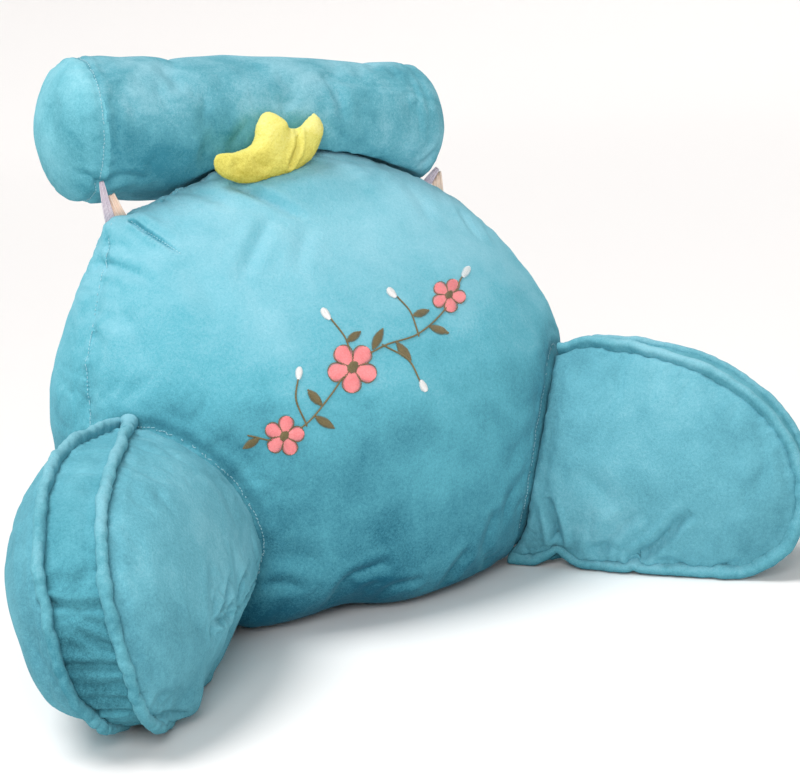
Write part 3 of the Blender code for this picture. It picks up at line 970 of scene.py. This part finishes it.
press(arms["left"], left_side, [
    Fold([(-0.02, 0.03), (-0.05, 0.08), (-0.06, 0.14)], 5.0, 8.0, "start"),
    Fold([(-0.08, 0.02), (-0.12, 0.05), (-0.18, 0.06)], 4.5, 8.0, "start"),
    Fold([(-0.03, 0.20), (-0.08, 0.18), (-0.13, 0.19)], 3.5, 9.0, "start"),
])
press(arms["right"], right_side, [
    Fold([(-0.10, 0.03), (-0.13, 0.08), (-0.14, 0.14)], 5.0, 8.0, "start"),
    Fold([(-0.14, 0.02), (-0.18, 0.05), (-0.24, 0.06)], 4.5, 8.0, "start"),
    Fold([(-0.11, 0.20), (-0.15, 0.18), (-0.20, 0.18)], 3.5, 9.0, "start"),
])
for side, arm in arms.items():
    near_seam = fade_out(distance_to(points_of(arm), arm_seams[side]), 0.01, 0.09)
    creases(arm, near_seam, (0.8, 0.3, 0.5), 0.026, 0.0012, seed=9)
    low = fade_out(points_of(arm)[:, 2], 0.01, 0.09)
    creases(arm, low, (0.2, 0.4, 1.0), 0.024, 0.0014, seed=12)
    on_floor(arm)
    sew_to(arm, backrest)

# %% [markdown]
# The boxing strip gets its own plush, deeper than the panels, with painted shade that darkens it
# steeply towards the floor. A face is on the strip when the way from one welt over it to the
# other is hardly longer than straight.

# %% Arms: the boxing strips, in a deeper plush with painted shade towards the floor
STRIP_SLACK = 1.15              # how much longer than straight the way over the strip may be
STRIP_WIDEST = 0.075            # and no strip is wider than this

for side, arm in arms.items():
    arm.data.materials.append(PLUSH_STRIP_PAINTED_SHADE)
    inner, outer = [tree_of_places(welt_lines[f"welt_{side}_{edge}"])
                    for edge in ("inner", "outer")]
    count = 0
    for face in arm.data.polygons:
        on_inner, _, to_inner = inner.find(face.center)
        on_outer, _, to_outer = outer.find(face.center)
        wide = (on_inner - on_outer).length
        if wide < STRIP_WIDEST and to_inner + to_outer < STRIP_SLACK * wide:
            face.material_index = 1
            count += 1
    print(arm.name, "has", count, "faces on its strip")

# %% [markdown]
# ## The welts
#
# A welt is a strip of the same plush wrapped round a soft cord and sewn into the seam. Seen close
# up it is lumpy. It is made as a tube along its middle line: a ring of points is extruded from
# place to place, and each ring is a little thicker or thinner than the last.

# %% Welts
WELT_SIDES = 12
WELT_LUMPS = [Lump(0.020, 0.30), Lump(0.0065, 0.26), Lump(0.0025, 0.12)]
FLANGE = 0.009                  # the welt's edges run this far into the seam
FLANGE_THIN = 14                # the higher, the thinner they lie on each other
SUNK = {"welt_right_outer": 0.0055}     # this one has sunk between the strip and the panel
TURNED_UNDER = {"welt_left_inner": 0.012, "welt_left_outer": 0.012}     # under the arm's foot
END_FATTER = {"welt_left_inner": 0.90}  # this one is doubled over at its ends
END_LONG = 0.014


def lumpy_tube(name, line, seam_way, radius, sides, seed, fatter, lumpy):
    """Extrude a ring along a line, lumpy, with a flange into the seam, and close both ends."""
    bm = bmesh.new()
    ring = bmesh.ops.create_circle(bm, segments=sides, radius=1.0)["verts"]
    rest = [vert.co.copy() for vert in ring]
    edges = list(bm.edges)
    third = len(line) // 3
    side = Vector(np.cross(line[third] - line[0], line[2 * third] - line[0])).normalized()
    for i in range(len(line)):
        ahead = Vector(line[min(i + 1, len(line) - 1)] - line[max(i - 1, 0)]).normalized()
        over = side.cross(ahead).normalized()
        side_here = ahead.cross(over)
        from_end = min(i, len(line) - 1 - i) * WELT_PITCH / END_LONG
        wide = radius * (1 + fatter * math.exp(-from_end ** 2))
        way = Vector(seam_way[i])
        way = (way - ahead * way.dot(ahead)).normalized()
        if i:
            made = bmesh.ops.extrude_edge_only(bm, edges=edges)["geom"]
            ring = [g for g in made if isinstance(g, bmesh.types.BMVert)]
            edges = [g for g in made if isinstance(g, bmesh.types.BMEdge)
                     and all(v in ring for v in g.verts)]
        for corner, vert in zip(rest, ring):
            out = side_here * corner.x + over * corner.y
            place = Vector(line[i]) + out * wide
            lump = sum(noise.noise(place / each.size + Vector((seed, seed, 0))) * each.height
                       for each in WELT_LUMPS)
            vert.co = Vector(line[i]).lerp(place, 1 + lump * lumpy)
            vert.co += way * FLANGE * max(0, out.dot(way)) ** FLANGE_THIN
    bmesh.ops.holes_fill(bm, edges=bm.edges, sides=0)
    bmesh.ops.recalc_face_normals(bm, faces=bm.faces)
    return new_piece(name, mesh_of(bm, name), PLUSH_WELT)


for number, (node, line) in enumerate(welt_lines.items()):
    side = node.split("_")[1]
    arm_middle = points_of(arms[side]).mean(0)
    line = line + unit(line.mean(0) - line) * SUNK.get(node, 0.0)
    under = unit((arm_middle - line) * (1, 1, 0))
    line += (under * TURNED_UNDER.get(node, 0.0)
             * fade_out(line[:, 2], WELT_RADIUS + 0.003, WELT_RADIUS + 0.016)[:, None])
    seam_way = arm_middle - line
    welt = lumpy_tube(node + "_cover", line, seam_way, WELT_RADIUS, WELT_SIDES, number,
                      END_FATTER.get(node, 0.25), UNEVEN[side])
    divide(welt)
    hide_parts(node)
    on_floor(welt)
print("welts:", len(welt_lines))

# %% [markdown]
# ## The neck roll
#
# The roll is a tube of plush with a round panel sewn into each end. The end seams are gathered a
# little, because the end panels are domed. The left end panel, which faces the light, gets a
# lighter copy of the plush: painted light.

# %% Neck roll
ROLL_VOXEL = 0.0055

creased = sewn_edges("neck_roll")
roll = cover("neck_roll", "neck_roll_cover", PLUSH_ROLL, ROLL_VOXEL)
fill(roll, creased, ["backrest", "crown"], smaller=0.002, cap=0.006, growth=0.02,
     seam_fade=(0.004, 0.012), pressed_fade=(0.003, 0.018))
uneven(roll, 0.08, 0.0026, seed=8)

# %% Neck roll: end seams
END_SEAM_PAST = 0.15            # an end seam lies further from the roll's middle than this
END_SEAM_DEPTHS = (0.0018, 0.0008)      # the left one is drawn in more than the right one

end_reach = np.abs(creased[:, 0] - points_of(roll)[:, 0].mean())
roll_seams = []
for side in (-1, 1):
    ring = creased[(creased[:, 0] * side > 0) & (end_reach > END_SEAM_PAST)]
    roll_seams.append(evenly(loop_line(ring, 90, 0.12, True), SEAM_PITCH))
for number, (line, deep) in enumerate(zip(roll_seams, END_SEAM_DEPTHS)):
    draw_in(roll, line, deep, 0.0030)
    pucker(roll, line, 0.013, 0.014, 0.0007, number + 30)
near_ends = fade_out(distance_to(points_of(roll), np.vstack(roll_seams)), 0.02, 0.11)
creases(roll, near_ends, (1.0, 0.0, 0.0), 0.022, 0.0012, seed=14)

# %% Neck roll: folds, and painted light on the left end panel
press(roll, picture, [
    Fold([(334, 80), (342, 104), (346, 128)], 4.0, 6.0),
    Fold([(312, 77), (346, 80), (381, 87)], 2.8, 7.0),
    Fold([(438, 149), (430, 158), (417, 168)], 5.5, 4.5),
    Fold([(262, 58), (250, 66), (236, 72)], 3.0, 16.0),
    Fold([(404, 90), (412, 112), (410, 138)], 2.6, 9.0),
    Fold([(196, 166), (212, 148), (230, 132)], 2.8, 7.0),
    Fold([(252, 116), (240, 136), (227, 151)], 4.0, 6.5),
    Fold([(160, 70), (190, 84), (214, 110)], 2.2, 12.0),
    Fold([(128, 158), (140, 136), (158, 118)], 2.2, 10.0),
    Fold([(104, 184), (124, 177), (150, 180)], 4.5, 5.0, "end"),
    Fold([(102, 186), (90, 178), (72, 174)], 4.5, 5.0, "end"),
    Fold([(60, 92), (52, 116), (52, 146)], 2.0, 10.0),
])
press(roll, back, [
    Fold([(-0.20, 0.52), (-0.13, 0.51), (-0.08, 0.53)], 4.0, 8.0, "start"),
    Fold([(0.16, 0.49), (0.10, 0.50), (0.04, 0.48)], 4.0, 8.0, "start"),
    Fold([(-0.02, 0.57), (0.00, 0.53), (-0.02, 0.49)], 3.0, 11.0),
])
# Painted light: the left end panel gets the lighter copy of the roll's plush.
roll.data.materials.append(PLUSH_ROLL_END_PAINTED_LIGHT)
left_end_at = roll_seams[0].mean(0)[0]
for face in roll.data.polygons:
    if face.center.x < left_end_at:
        face.material_index = 1
print("neck roll:", len(roll.data.polygons), "faces")

# %% [markdown]
# ## The crown
#
# The crown is two layers of fleecy yellow plush, stuffed. It is small, so its pile can be real
# geometry: the fine mesh is raised by a noise with tufts of about two millimetres.

# %% Crown
CROWN_VOXEL = 0.0026
FLEECE = 0.0020                 # size of a tuft
FLEECE_HIGH = 0.00045           # and how high it stands

crown = cover("crown", "crown_cover", PLUSH_YELLOW, CROWN_VOXEL)
divide(crown)
tug(crown, [
    Tug((312, 122), (319, 130), 17.0),
    Tug((262, 126), (258, 126), 12.0),
    Tug((280, 124), (286, 123), 9.5),
    Tug((268, 116), (274, 118), 7.5),
    Tug((224, 164), (219, 158), 13.0),
])
press(crown, picture, [
    Fold([(298, 130), (299, 146), (291, 166)], 6.0, 2.8, "none"),
    Fold([(272, 124), (268, 140), (262, 156)], -3.0, 11.0),
    Fold([(252, 158), (262, 166), (272, 168)], 2.6, 4.5),
    Fold([(238, 158), (236, 168), (238, 176)], 2.2, 4.0),
])
uneven(crown, 0.03, 0.0010, seed=4)
tufts = [noise.noise(v.co / FLEECE) + 0.6 * noise.noise(v.co / FLEECE * 2.3)
         for v in crown.data.vertices]
swell(crown, np.array(tufts) * FLEECE_HIGH)
print("crown:", len(crown.data.polygons), "faces")

# %% [markdown]
# ## The elastic loops
#
# The roll hangs on two loops of flat elastic, each sewn into an end seam of the roll and into a
# corner of the backrest. The right side of the elastic is ribbed and white, the wrong side is the
# colour of bare rubber. Each strand is a small grid, laid along a line and then given its
# thickness, with the ribs in its points.

# %% Elastic: a ribbed finish
ELASTIC_RIBS = 7


def ribbed(name, deep, light):
    made, tree, shader = new_material(name)
    coords = add_node(tree, "ShaderNodeTexCoord").outputs["UV"]
    ribs = add_node(tree, "ShaderNodeTexWave", Scale=ELASTIC_RIBS / math.pi, Distortion=0.4)
    tree.links.new(coords, ribs.inputs["Vector"])
    objects = add_node(tree, "ShaderNodeTexCoord").outputs["Object"]
    weave = noise_at(tree, objects, 900.0, 1.0)
    mixed = weighed(tree, [(ribs.outputs["Fac"], 0.7), (weave, 0.6)], -0.15)
    tree.links.new(blend(tree, mixed, deep, light), shader.inputs["Base Color"])
    shader.inputs["Roughness"].default_value = 0.8
    tree.links.new(bumped(tree, weave, 0.0003, 0.5), shader.inputs["Normal"])
    return made


ELASTIC_THICK = 0.0012
RIB_HEIGHT = 0.0004
CRIMP = 0.0012                  # the gathered end at the roll waves by this much
ACROSS_STEPS = ELASTIC_RIBS * 4
ALONG_STEPS = 24
ELASTIC_WHITE = ribbed("elastic_right_side", (0.40, 0.31, 0.40, 1), (0.95, 0.88, 0.92, 1))
ELASTIC_BARE = ribbed("elastic_wrong_side", (0.85, 0.58, 0.44, 1), (0.98, 0.84, 0.72, 1))

# %% Elastic: its strands
Strand = namedtuple("Strand", "top foot behind bow wide_top wide_foot bare")
STRANDS = {
    "elastic_left": [
        Strand((102, 184), (111, 222), 0.000, 0.004, 0.0046, 0.0115, False),
        Strand((110, 197), (124, 224), 0.006, 0.007, 0.0110, 0.0135, True),
    ],
    "elastic_right": [
        Strand((436, 170), (424, 187), 0.000, 0.003, 0.0046, 0.0110, False),
        Strand((437, 173), (438, 195), 0.010, 0.008, 0.0100, 0.0135, True),
    ],
}
TUCKED = 0.003                  # how deep an end is tucked into its seam


def beside_end(node, point, highest):
    """The place that a picture point shows, as far away as one end of an elastic's solid."""
    ends = points_of(nodes[node])
    order = np.argsort(ends[:, 2])
    end = Vector(ends[order[-8:] if highest else order[:8]].mean(0))
    start, ray = picture(point)
    return start + ray * (end - start).dot(ray)


def add_strand(bm, node, strand, finish_number):
    """One strand of elastic, from the roll down to the backrest."""
    top = beside_end(node, strand.top, True)
    foot = beside_end(node, strand.foot, False)
    down = (foot - top).normalized()
    away = -backwards
    across = down.cross(away).normalized()
    grid = bmesh.ops.create_grid(bm, x_segments=ACROSS_STEPS, y_segments=ALONG_STEPS, size=0.5)
    layer = bm.loops.layers.uv.verify()
    faces = {face for vert in grid["verts"] for face in vert.link_faces}
    for face in faces:
        face.material_index = finish_number
        for loop in face.loops:
            loop[layer].uv = (loop.vert.co.x + 0.5, loop.vert.co.y + 0.5)
    long = (foot - top).length + 2 * TUCKED
    for vert in grid["verts"]:
        u, v = vert.co.x, vert.co.y + 0.5
        wide = strand.wide_top + (strand.wide_foot - strand.wide_top) * v ** 0.7
        rib = RIB_HEIGHT * math.cos(FULL_TURN * ELASTIC_RIBS * (u + 0.5))
        fold = CRIMP * math.cos(5 * math.pi * u) * (1 - v)
        out = strand.bow * math.sin(math.pi * v) + rib + fold
        vert.co = (top + down * (v * long - TUCKED) + across * (u * wide)
                   + away * (strand.behind - out))
    bmesh.ops.solidify(bm, geom=list(faces), thickness=ELASTIC_THICK)
    return long


for node, strands in STRANDS.items():
    bm = bmesh.new()
    long = sum(add_strand(bm, node, strand, int(strand.bare)) for strand in strands)
    bmesh.ops.recalc_face_normals(bm, faces=bm.faces)
    band = new_piece(node + "_band", mesh_of(bm, node + "_band"), ELASTIC_WHITE)
    band.data.materials.append(ELASTIC_BARE)
    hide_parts(node)
    area = sum(face.area for face in band.data.polygons) / 2
    print(band.name, "is", round(long, 3), "m long, its cloth", round(area * 1e4, 1), "cm2")

# %% [markdown]
# ## Threads
#
# Seams are stitched, and the front panel is embroidered. One thread is a short bar with six sides
# and its ends drawn in. It is copied for every stitch, and the copies are bent along lines on the
# cloth, so hundreds of stitches stay one light piece.

# %% A thread, and a piece made of many
Thread = namedtuple("Thread", "line normals wide high")
THREAD_SIDES = 6
THREAD_RINGS = 6


def thread_bar():
    """A bar of radius 1 from z = 0 to 1 with its ends drawn in."""
    bm = bmesh.new()
    bmesh.ops.create_cone(bm, cap_ends=True, segments=THREAD_SIDES, radius1=1.0, radius2=1.0,
                          depth=1.0)
    bmesh.ops.translate(bm, verts=bm.verts, vec=(0, 0, 0.5))
    for i in range(1, THREAD_RINGS):
        bmesh.ops.bisect_plane(bm, geom=bm.verts[:] + bm.edges[:] + bm.faces[:],
                               plane_co=(0, 0, i / THREAD_RINGS), plane_no=(0, 0, 1))
    for vert in bm.verts:
        drawn = math.sqrt(max(0.12, 1 - abs(2 * vert.co.z - 1) ** 5))
        vert.co.xy *= drawn
    return mesh_of(bm, "thread_bar")


def at_heights(heights, rows):
    """A thread's rows, read off at heights from 0 at its start to 1 at its end."""
    steps = np.linspace(0, 1, len(rows))
    return np.stack([np.interp(heights, steps, rows[:, k]) for k in range(3)], axis=1)


def lay_threads(name, threads, finish):
    """One piece of all these threads."""
    bar = thread_bar()
    rest = np.array([v.co[:] for v in bar.vertices])
    bm = bmesh.new()
    for _ in threads:
        bm.from_mesh(bar)
    mesh = mesh_of(bm, name)
    bpy.data.meshes.remove(bar)
    places = []
    for thread in threads:
        middle, over, ahead = [at_heights(rest[:, 2], rows) for rows in (
            thread.line, thread.normals, np.gradient(thread.line, axis=0))]
        over = unit(over)
        side = unit(np.cross(over, ahead))
        places.append(middle + side * rest[:, :1] * thread.wide
                      + over * rest[:, 1:2] * thread.high)
    mesh.vertices.foreach_set("co", np.concatenate(places).ravel())
    mesh.update()
    print(name, "has", len(threads), "stitches")
    return new_piece(name, mesh, finish)


# %% [markdown]
# ## Seam stitches
#
# A seam in plush is sewn from the wrong side, but where it is pulled the thread shows as a row of
# short dashes in the groove.

# %% Stitches along the seams
STITCH_PITCH = 0.0042           # from stitch to stitch
STITCH_LONG = 0.0027
STITCH_STEPS = 6                # places to try for each pitch
STITCH_LIFT = 0.6               # how high a thread lies, in its own widths
THREAD_FLAT = 0.8               # how high a thread is, against its width


def stitches(piece, line, wide=0.0005):
    """Short stitches on the cloth along a line near it, but none where they would crumple."""
    tree = tree_of(piece)
    rows = evenly(line, STITCH_PITCH / STITCH_STEPS)
    step = int(round(STITCH_LONG / (STITCH_PITCH / STITCH_STEPS)))
    made = []
    for start in range(0, len(rows) - step, STITCH_STEPS):
        hits = [tree.find_nearest(rows[start + k]) for k in np.linspace(0, step, 3).astype(int)]
        normals = np.array([hit[1][:] for hit in hits])
        places = np.array([hit[0][:] for hit in hits]) + normals * wide * STITCH_LIFT
        if np.linalg.norm(np.diff(places, axis=0), axis=1).min() > STITCH_LONG * 0.2:
            made.append(Thread(places, normals, wide, wide * THREAD_FLAT))
    return made


THREAD_TEAL = plush("thread_teal", (0.200, 0.440, 0.510), (0.350, 0.610, 0.680),
                    (0.520, 0.780, 0.840), sheen=0.0, tuft_bump=0.1)
backrest_tree = tree_of(backrest)
dart_line = land(backrest_tree, picture, LEFT_DART)
seam_threads = []
for line in body_seams + [dart_line] + list(arm_seams.values()):
    seam_threads += stitches(backrest, line)
lay_threads("seam_stitches", seam_threads, THREAD_TEAL)

# The thread shows at the roll's left end only. At the other end it has sunk into the pile.
roll_threads = stitches(roll, roll_seams[0], wide=0.0006)
lay_threads("roll_stitches", roll_threads, THREAD_TEAL)

# %% [markdown]
# ## Embroidery
#
# The front panel carries a spray of flowers in coral pink, olive brown and white. Filled shapes
# are satin stitch, parallel threads side by side that rise a little in the middle, and lines are
# stem stitch, short slanted threads that overlap. Each shape is drawn on the picture as a small
# outline of its own, and its threads are dropped on to the cloth.

# %% Finishes of the embroidery thread
def glossy_thread(name, deep, light):
    made, tree, shader = new_material(name)
    coords = add_node(tree, "ShaderNodeTexCoord").outputs["Object"]
    fine = noise_at(tree, coords, 700.0, 2.0, 0.6)
    broad = noise_at(tree, coords, 120.0, 2.0, 0.5)
    mixed = weighed(tree, [(fine, 0.8), (broad, 0.6)], -0.25)
    tree.links.new(blend(tree, mixed, deep, light), shader.inputs["Base Color"])
    shader.inputs["Roughness"].default_value = 0.55
    shader.inputs["Sheen Weight"].default_value = 0.3
    tree.links.new(bumped(tree, fine, 0.0003, 0.5), shader.inputs["Normal"])
    return made


CORAL = glossy_thread("thread_coral", (0.780, 0.150, 0.170, 1), (1.000, 0.400, 0.400, 1))
OLIVE = glossy_thread("thread_olive", (0.075, 0.055, 0.016, 1), (0.250, 0.195, 0.070, 1))
WHITE = glossy_thread("thread_white", (0.700, 0.700, 0.690, 1), (0.950, 0.950, 0.940, 1))

# %% Satin stitch and stem stitch
SATIN_PITCH = 1.15              # picture pixels from thread to thread
SATIN_WIDE = 0.00066
SATIN_LIFT = 0.0015
SATIN_OVER = 0.4                # a thread runs past the outline by this many picture pixels
SATIN_LOOSE = 0.6               # and is out of line by up to about this many
THREAD_CLEAR = 0.0003           # a thread's ends lie this far above the cloth


def dropped(points, lift):
    """Drawn points as places above the cloth, with their normals."""
    places, normals = [], []
    for point, up in zip(points, lift):
        place, normal, _, _ = backrest_tree.ray_cast(*picture(point))
        if place is None:
            return None, None
        places.append(place[:])
        normals.append(normal[:])
    normals = np.tile(unit(np.mean(normals, axis=0)), (len(places), 1))
    return np.array(places) + normals * np.reshape(lift, (-1, 1)), normals


def satin(outline, slant, lift=SATIN_LIFT, seed=0):
    """Threads across a closed outline, all in the direction of the slant."""
    ahead = np.array([math.cos(slant), math.sin(slant)])
    beside = np.array([-ahead[1], ahead[0]])
    flat = np.stack([outline @ ahead, outline @ beside], axis=1)
    made = []
    for level in np.arange(flat[:, 1].min() + SATIN_PITCH / 2, flat[:, 1].max(), SATIN_PITCH):
        ends = []
        for a, b in zip(flat, np.roll(flat, -1, axis=0)):
            if (a[1] - level) * (b[1] - level) < 0:
                ends.append(a[0] + (b[0] - a[0]) * (level - a[1]) / (b[1] - a[1]))
        if len(ends) != 2:
            continue
        loose = SATIN_LOOSE * noise.noise(Vector((level * 1.7, seed, outline[0, 0])))
        t = np.linspace(0, 1, 6)
        run = min(ends) - SATIN_OVER + loose + t * (max(ends) - min(ends) + 2 * SATIN_OVER)
        points = run[:, None] * ahead + level * beside
        places, normals = dropped(points, THREAD_CLEAR + lift * np.sin(np.pi * t) ** 0.6)
        if places is not None:
            made.append(Thread(places, normals, SATIN_WIDE, SATIN_WIDE * THREAD_FLAT))
    return made


def stem_stitch(points, wide=0.0009, long=6.0, pitch=3.0, slant=0.22, lift=0.0007):
    """Slanted threads that overlap along a drawn line."""
    line = evenly(np.pad(curve_through(points), ((0, 0), (0, 1))), pitch)[:, :2]
    made = []
    for here, after in zip(line, line[1:]):
        ahead = unit(after - here)
        beside = np.array([-ahead[1], ahead[0]])
        half = ahead * long / 2 + beside * slant * long / 4
        t = np.linspace(0, 1, 4)
        points_here = here + half * (2 * t[:, None] - 1)
        places, normals = dropped(points_here, THREAD_CLEAR + lift * np.sin(np.pi * t))
        if places is not None:
            made.append(Thread(places, normals, wide, wide * THREAD_FLAT))
    return made


# %% [markdown]
# All the shapes come from three outlines: an egg for the petals and buds, a pointed leaf, and a
# disc. Each is drawn along +X, then turned and put at its place.

# %% The shapes: petals, discs, leaves
TURN_STEPS = 28                 # points round an outline
TURNS = np.linspace(0, FULL_TURN, TURN_STEPS, endpoint=False)


def turned(shape, centre, turn):
    """A shape drawn along +X, turned and put at its centre."""
    c, s = math.cos(turn), math.sin(turn)
    return shape @ np.array([[c, s], [-s, c]]) + np.array(centre)


def petal(long, wide):
    """An egg with its narrow end at 0."""
    x = (1 - np.cos(TURNS)) / 2
    return np.stack([long * x, wide / 2 * np.sin(TURNS) * (0.62 + 0.38 * x)], axis=1)


def leaf(long, wide):
    """Pointed at both ends."""
    x = np.linspace(0, 1, TURN_STEPS // 2)
    half = wide / 2 * np.sin(np.pi * x) ** 0.85
    upper = np.stack([long * x, half], axis=1)
    lower = np.stack([long * x[::-1], -half[::-1]], axis=1)
    return np.vstack([upper, lower[1:-1]])


def disc(radius):
    return radius * np.stack([np.cos(TURNS), np.sin(TURNS)], axis=1)


# %% The spray of flowers, drawn on the picture
Blossom = namedtuple("Blossom", "centre size turn petals")
Leaf = namedtuple("Leaf", "foot long wide turn")
STEMS = [
    [(250, 436), (278, 440), (306, 424), (330, 396), (352, 366), (384, 346), (418, 334),
     (446, 308), (462, 276)],
    [(306, 424), (296, 400), (298, 378)],
    [(352, 366), (346, 340), (330, 318)],
    [(384, 346), (408, 360), (420, 382)],
    [(418, 334), (410, 312), (396, 296)],
]
BLOSSOMS = [
    Blossom((352, 368), 25, 0.35, 5),
    Blossom((284, 436), 20, 1.10, 5),
    Blossom((448, 296), 17, 0.10, 5),
]
BUDS = [Leaf((298, 380), 13, 8.5, -1.45), Leaf((330, 320), 14, 9.0, -2.2),
        Leaf((420, 380), 13, 8.5, 1.1), Leaf((396, 298), 13, 8.5, -2.3),
        Leaf((462, 278), 13, 8.5, -1.0)]
LEAVES = [Leaf((314, 416), 24, 9, 0.55), Leaf((322, 406), 22, 9, -2.3),
          Leaf((372, 350), 24, 9, -1.1), Leaf((396, 342), 24, 9, 0.9),
          Leaf((428, 326), 22, 8, 0.35), Leaf((260, 438), 20, 8, 2.6),
          Leaf((346, 342), 18, 8, -0.6), Leaf((412, 316), 18, 8, -0.3)]
DISC_SHARE = 0.26               # the disc in a blossom's middle, of its size
PETAL_FOOT = 0.14               # and where a petal starts, how long and how wide it is
PETAL_LONG = 0.86
PETAL_WIDE = 0.92

coral, olive, white = [], [], []
for stem in STEMS:
    olive += stem_stitch(stem)
for each in LEAVES:
    outline = turned(leaf(each.long, each.wide), each.foot, each.turn)
    olive += satin(outline, each.turn + 1.05, SATIN_LIFT * 0.6, each.long)
for blossom in BLOSSOMS:
    for number in range(blossom.petals):
        turn = blossom.turn + FULL_TURN * number / blossom.petals
        foot = turned(np.array([blossom.size * PETAL_FOOT, 0.0]), blossom.centre, turn)
        outline = turned(petal(blossom.size * PETAL_LONG, blossom.size * PETAL_WIDE), foot, turn)
        coral += satin(outline, turn + math.pi / 2, seed=number)
        edge = np.vstack([outline, outline[:2]])
        olive += stem_stitch([tuple(p) for p in edge[::3]], wide=0.0005, long=3.2, pitch=2.4,
                             lift=0.0012)
    olive += satin(turned(disc(blossom.size * DISC_SHARE), blossom.centre, 0.0), 0.6, 0.0030)
for each in BUDS:
    outline = turned(petal(each.long, each.wide), each.foot, each.turn)
    white += satin(outline, each.turn + math.pi / 2, SATIN_LIFT * 0.8, each.long)
lay_threads("embroidery_coral", coral, CORAL)
lay_threads("embroidery_olive", olive, OLIVE)
lay_threads("embroidery_white", white, WHITE)

# %% [markdown]
# ## Floor and light
#
# A plain pale floor and soft studio light: a large soft box above and to the left, a weaker one
# in front, and a bright surround that fills the shadows.

# %% Floor: a wide bowl, flat in the middle
FLOOR_FLAT = 7.0                # radius of the flat part
FLOOR_WALL = 5.0                # height of the rim
FLOOR_BEND_STEPS = 10
FLOOR_TURNS = 64

bm = bmesh.new()
last = bm.verts.new((0, 0, 0))
profile = [(FLOOR_FLAT + FLOOR_WALL * math.sin(t), FLOOR_WALL * (1 - math.cos(t)))
           for t in np.linspace(0, math.pi / 2, FLOOR_BEND_STEPS)]
for reach, height in profile:
    vert = bm.verts.new((reach, 0, height))
    bm.edges.new((last, vert))
    last = vert
bmesh.ops.spin(bm, geom=bm.verts[:] + bm.edges[:], cent=(0, 0, 0), axis=(0, 0, 1),
               angle=FULL_TURN, steps=FLOOR_TURNS, use_merge=True)
bmesh.ops.remove_doubles(bm, verts=bm.verts, dist=0.0001)
bmesh.ops.recalc_face_normals(bm, faces=bm.faces)
floor = placed("floor", mesh_of(bm, "floor"))
floor.data.shade_smooth()
paper, _, paper_shader = new_material("white_paper")
paper_shader.inputs["Base Color"].default_value = (0.925, 0.903, 0.89, 1)
paper_shader.inputs["Roughness"].default_value = 0.95
floor.data.materials.append(paper)
floor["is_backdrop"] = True

# %% Lights
Lamp = namedtuple("Lamp", "name kind place aim size power")
LAMPS = [
    Lamp("sky_light", "SUN", (-0.9, 0.3, 2.6), (0.0, 0.0, 0.2), 0.50, 2.20),
    Lamp("front_box", "AREA", (-1.5, -2.2, 1.7), (0.0, 0.0, 0.28), 1.3, 36.0),
]
for lamp in LAMPS:
    light = bpy.data.lights.new(lamp.name, lamp.kind)
    light.energy = lamp.power
    if lamp.kind == "SUN":
        light.angle = lamp.size
    else:
        light.size = lamp.size
    bulb = placed(lamp.name, light)
    bulb.location = lamp.place
    aim = Vector(lamp.aim) - Vector(lamp.place)
    bulb.rotation_euler = aim.to_track_quat("-Z", "Y").to_euler()

world = bpy.data.worlds.new("studio")
bpy.context.scene.world = world
world.use_nodes = True
surround = world.node_tree.nodes["Background"]
surround.inputs["Color"].default_value = (1, 1, 1, 1)
surround.inputs["Strength"].default_value = 0.33
bpy.context.scene.view_settings.view_transform = "Standard"
print("lamps:", [lamp.name for lamp in LAMPS])

# %% [markdown]
# ## Sizes, and the end
#
# The box of the dressed pillow is printed.

# %% Write the sizes and finish
low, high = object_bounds()
print("dressed box:", [round(v, 3) for v in high - low])
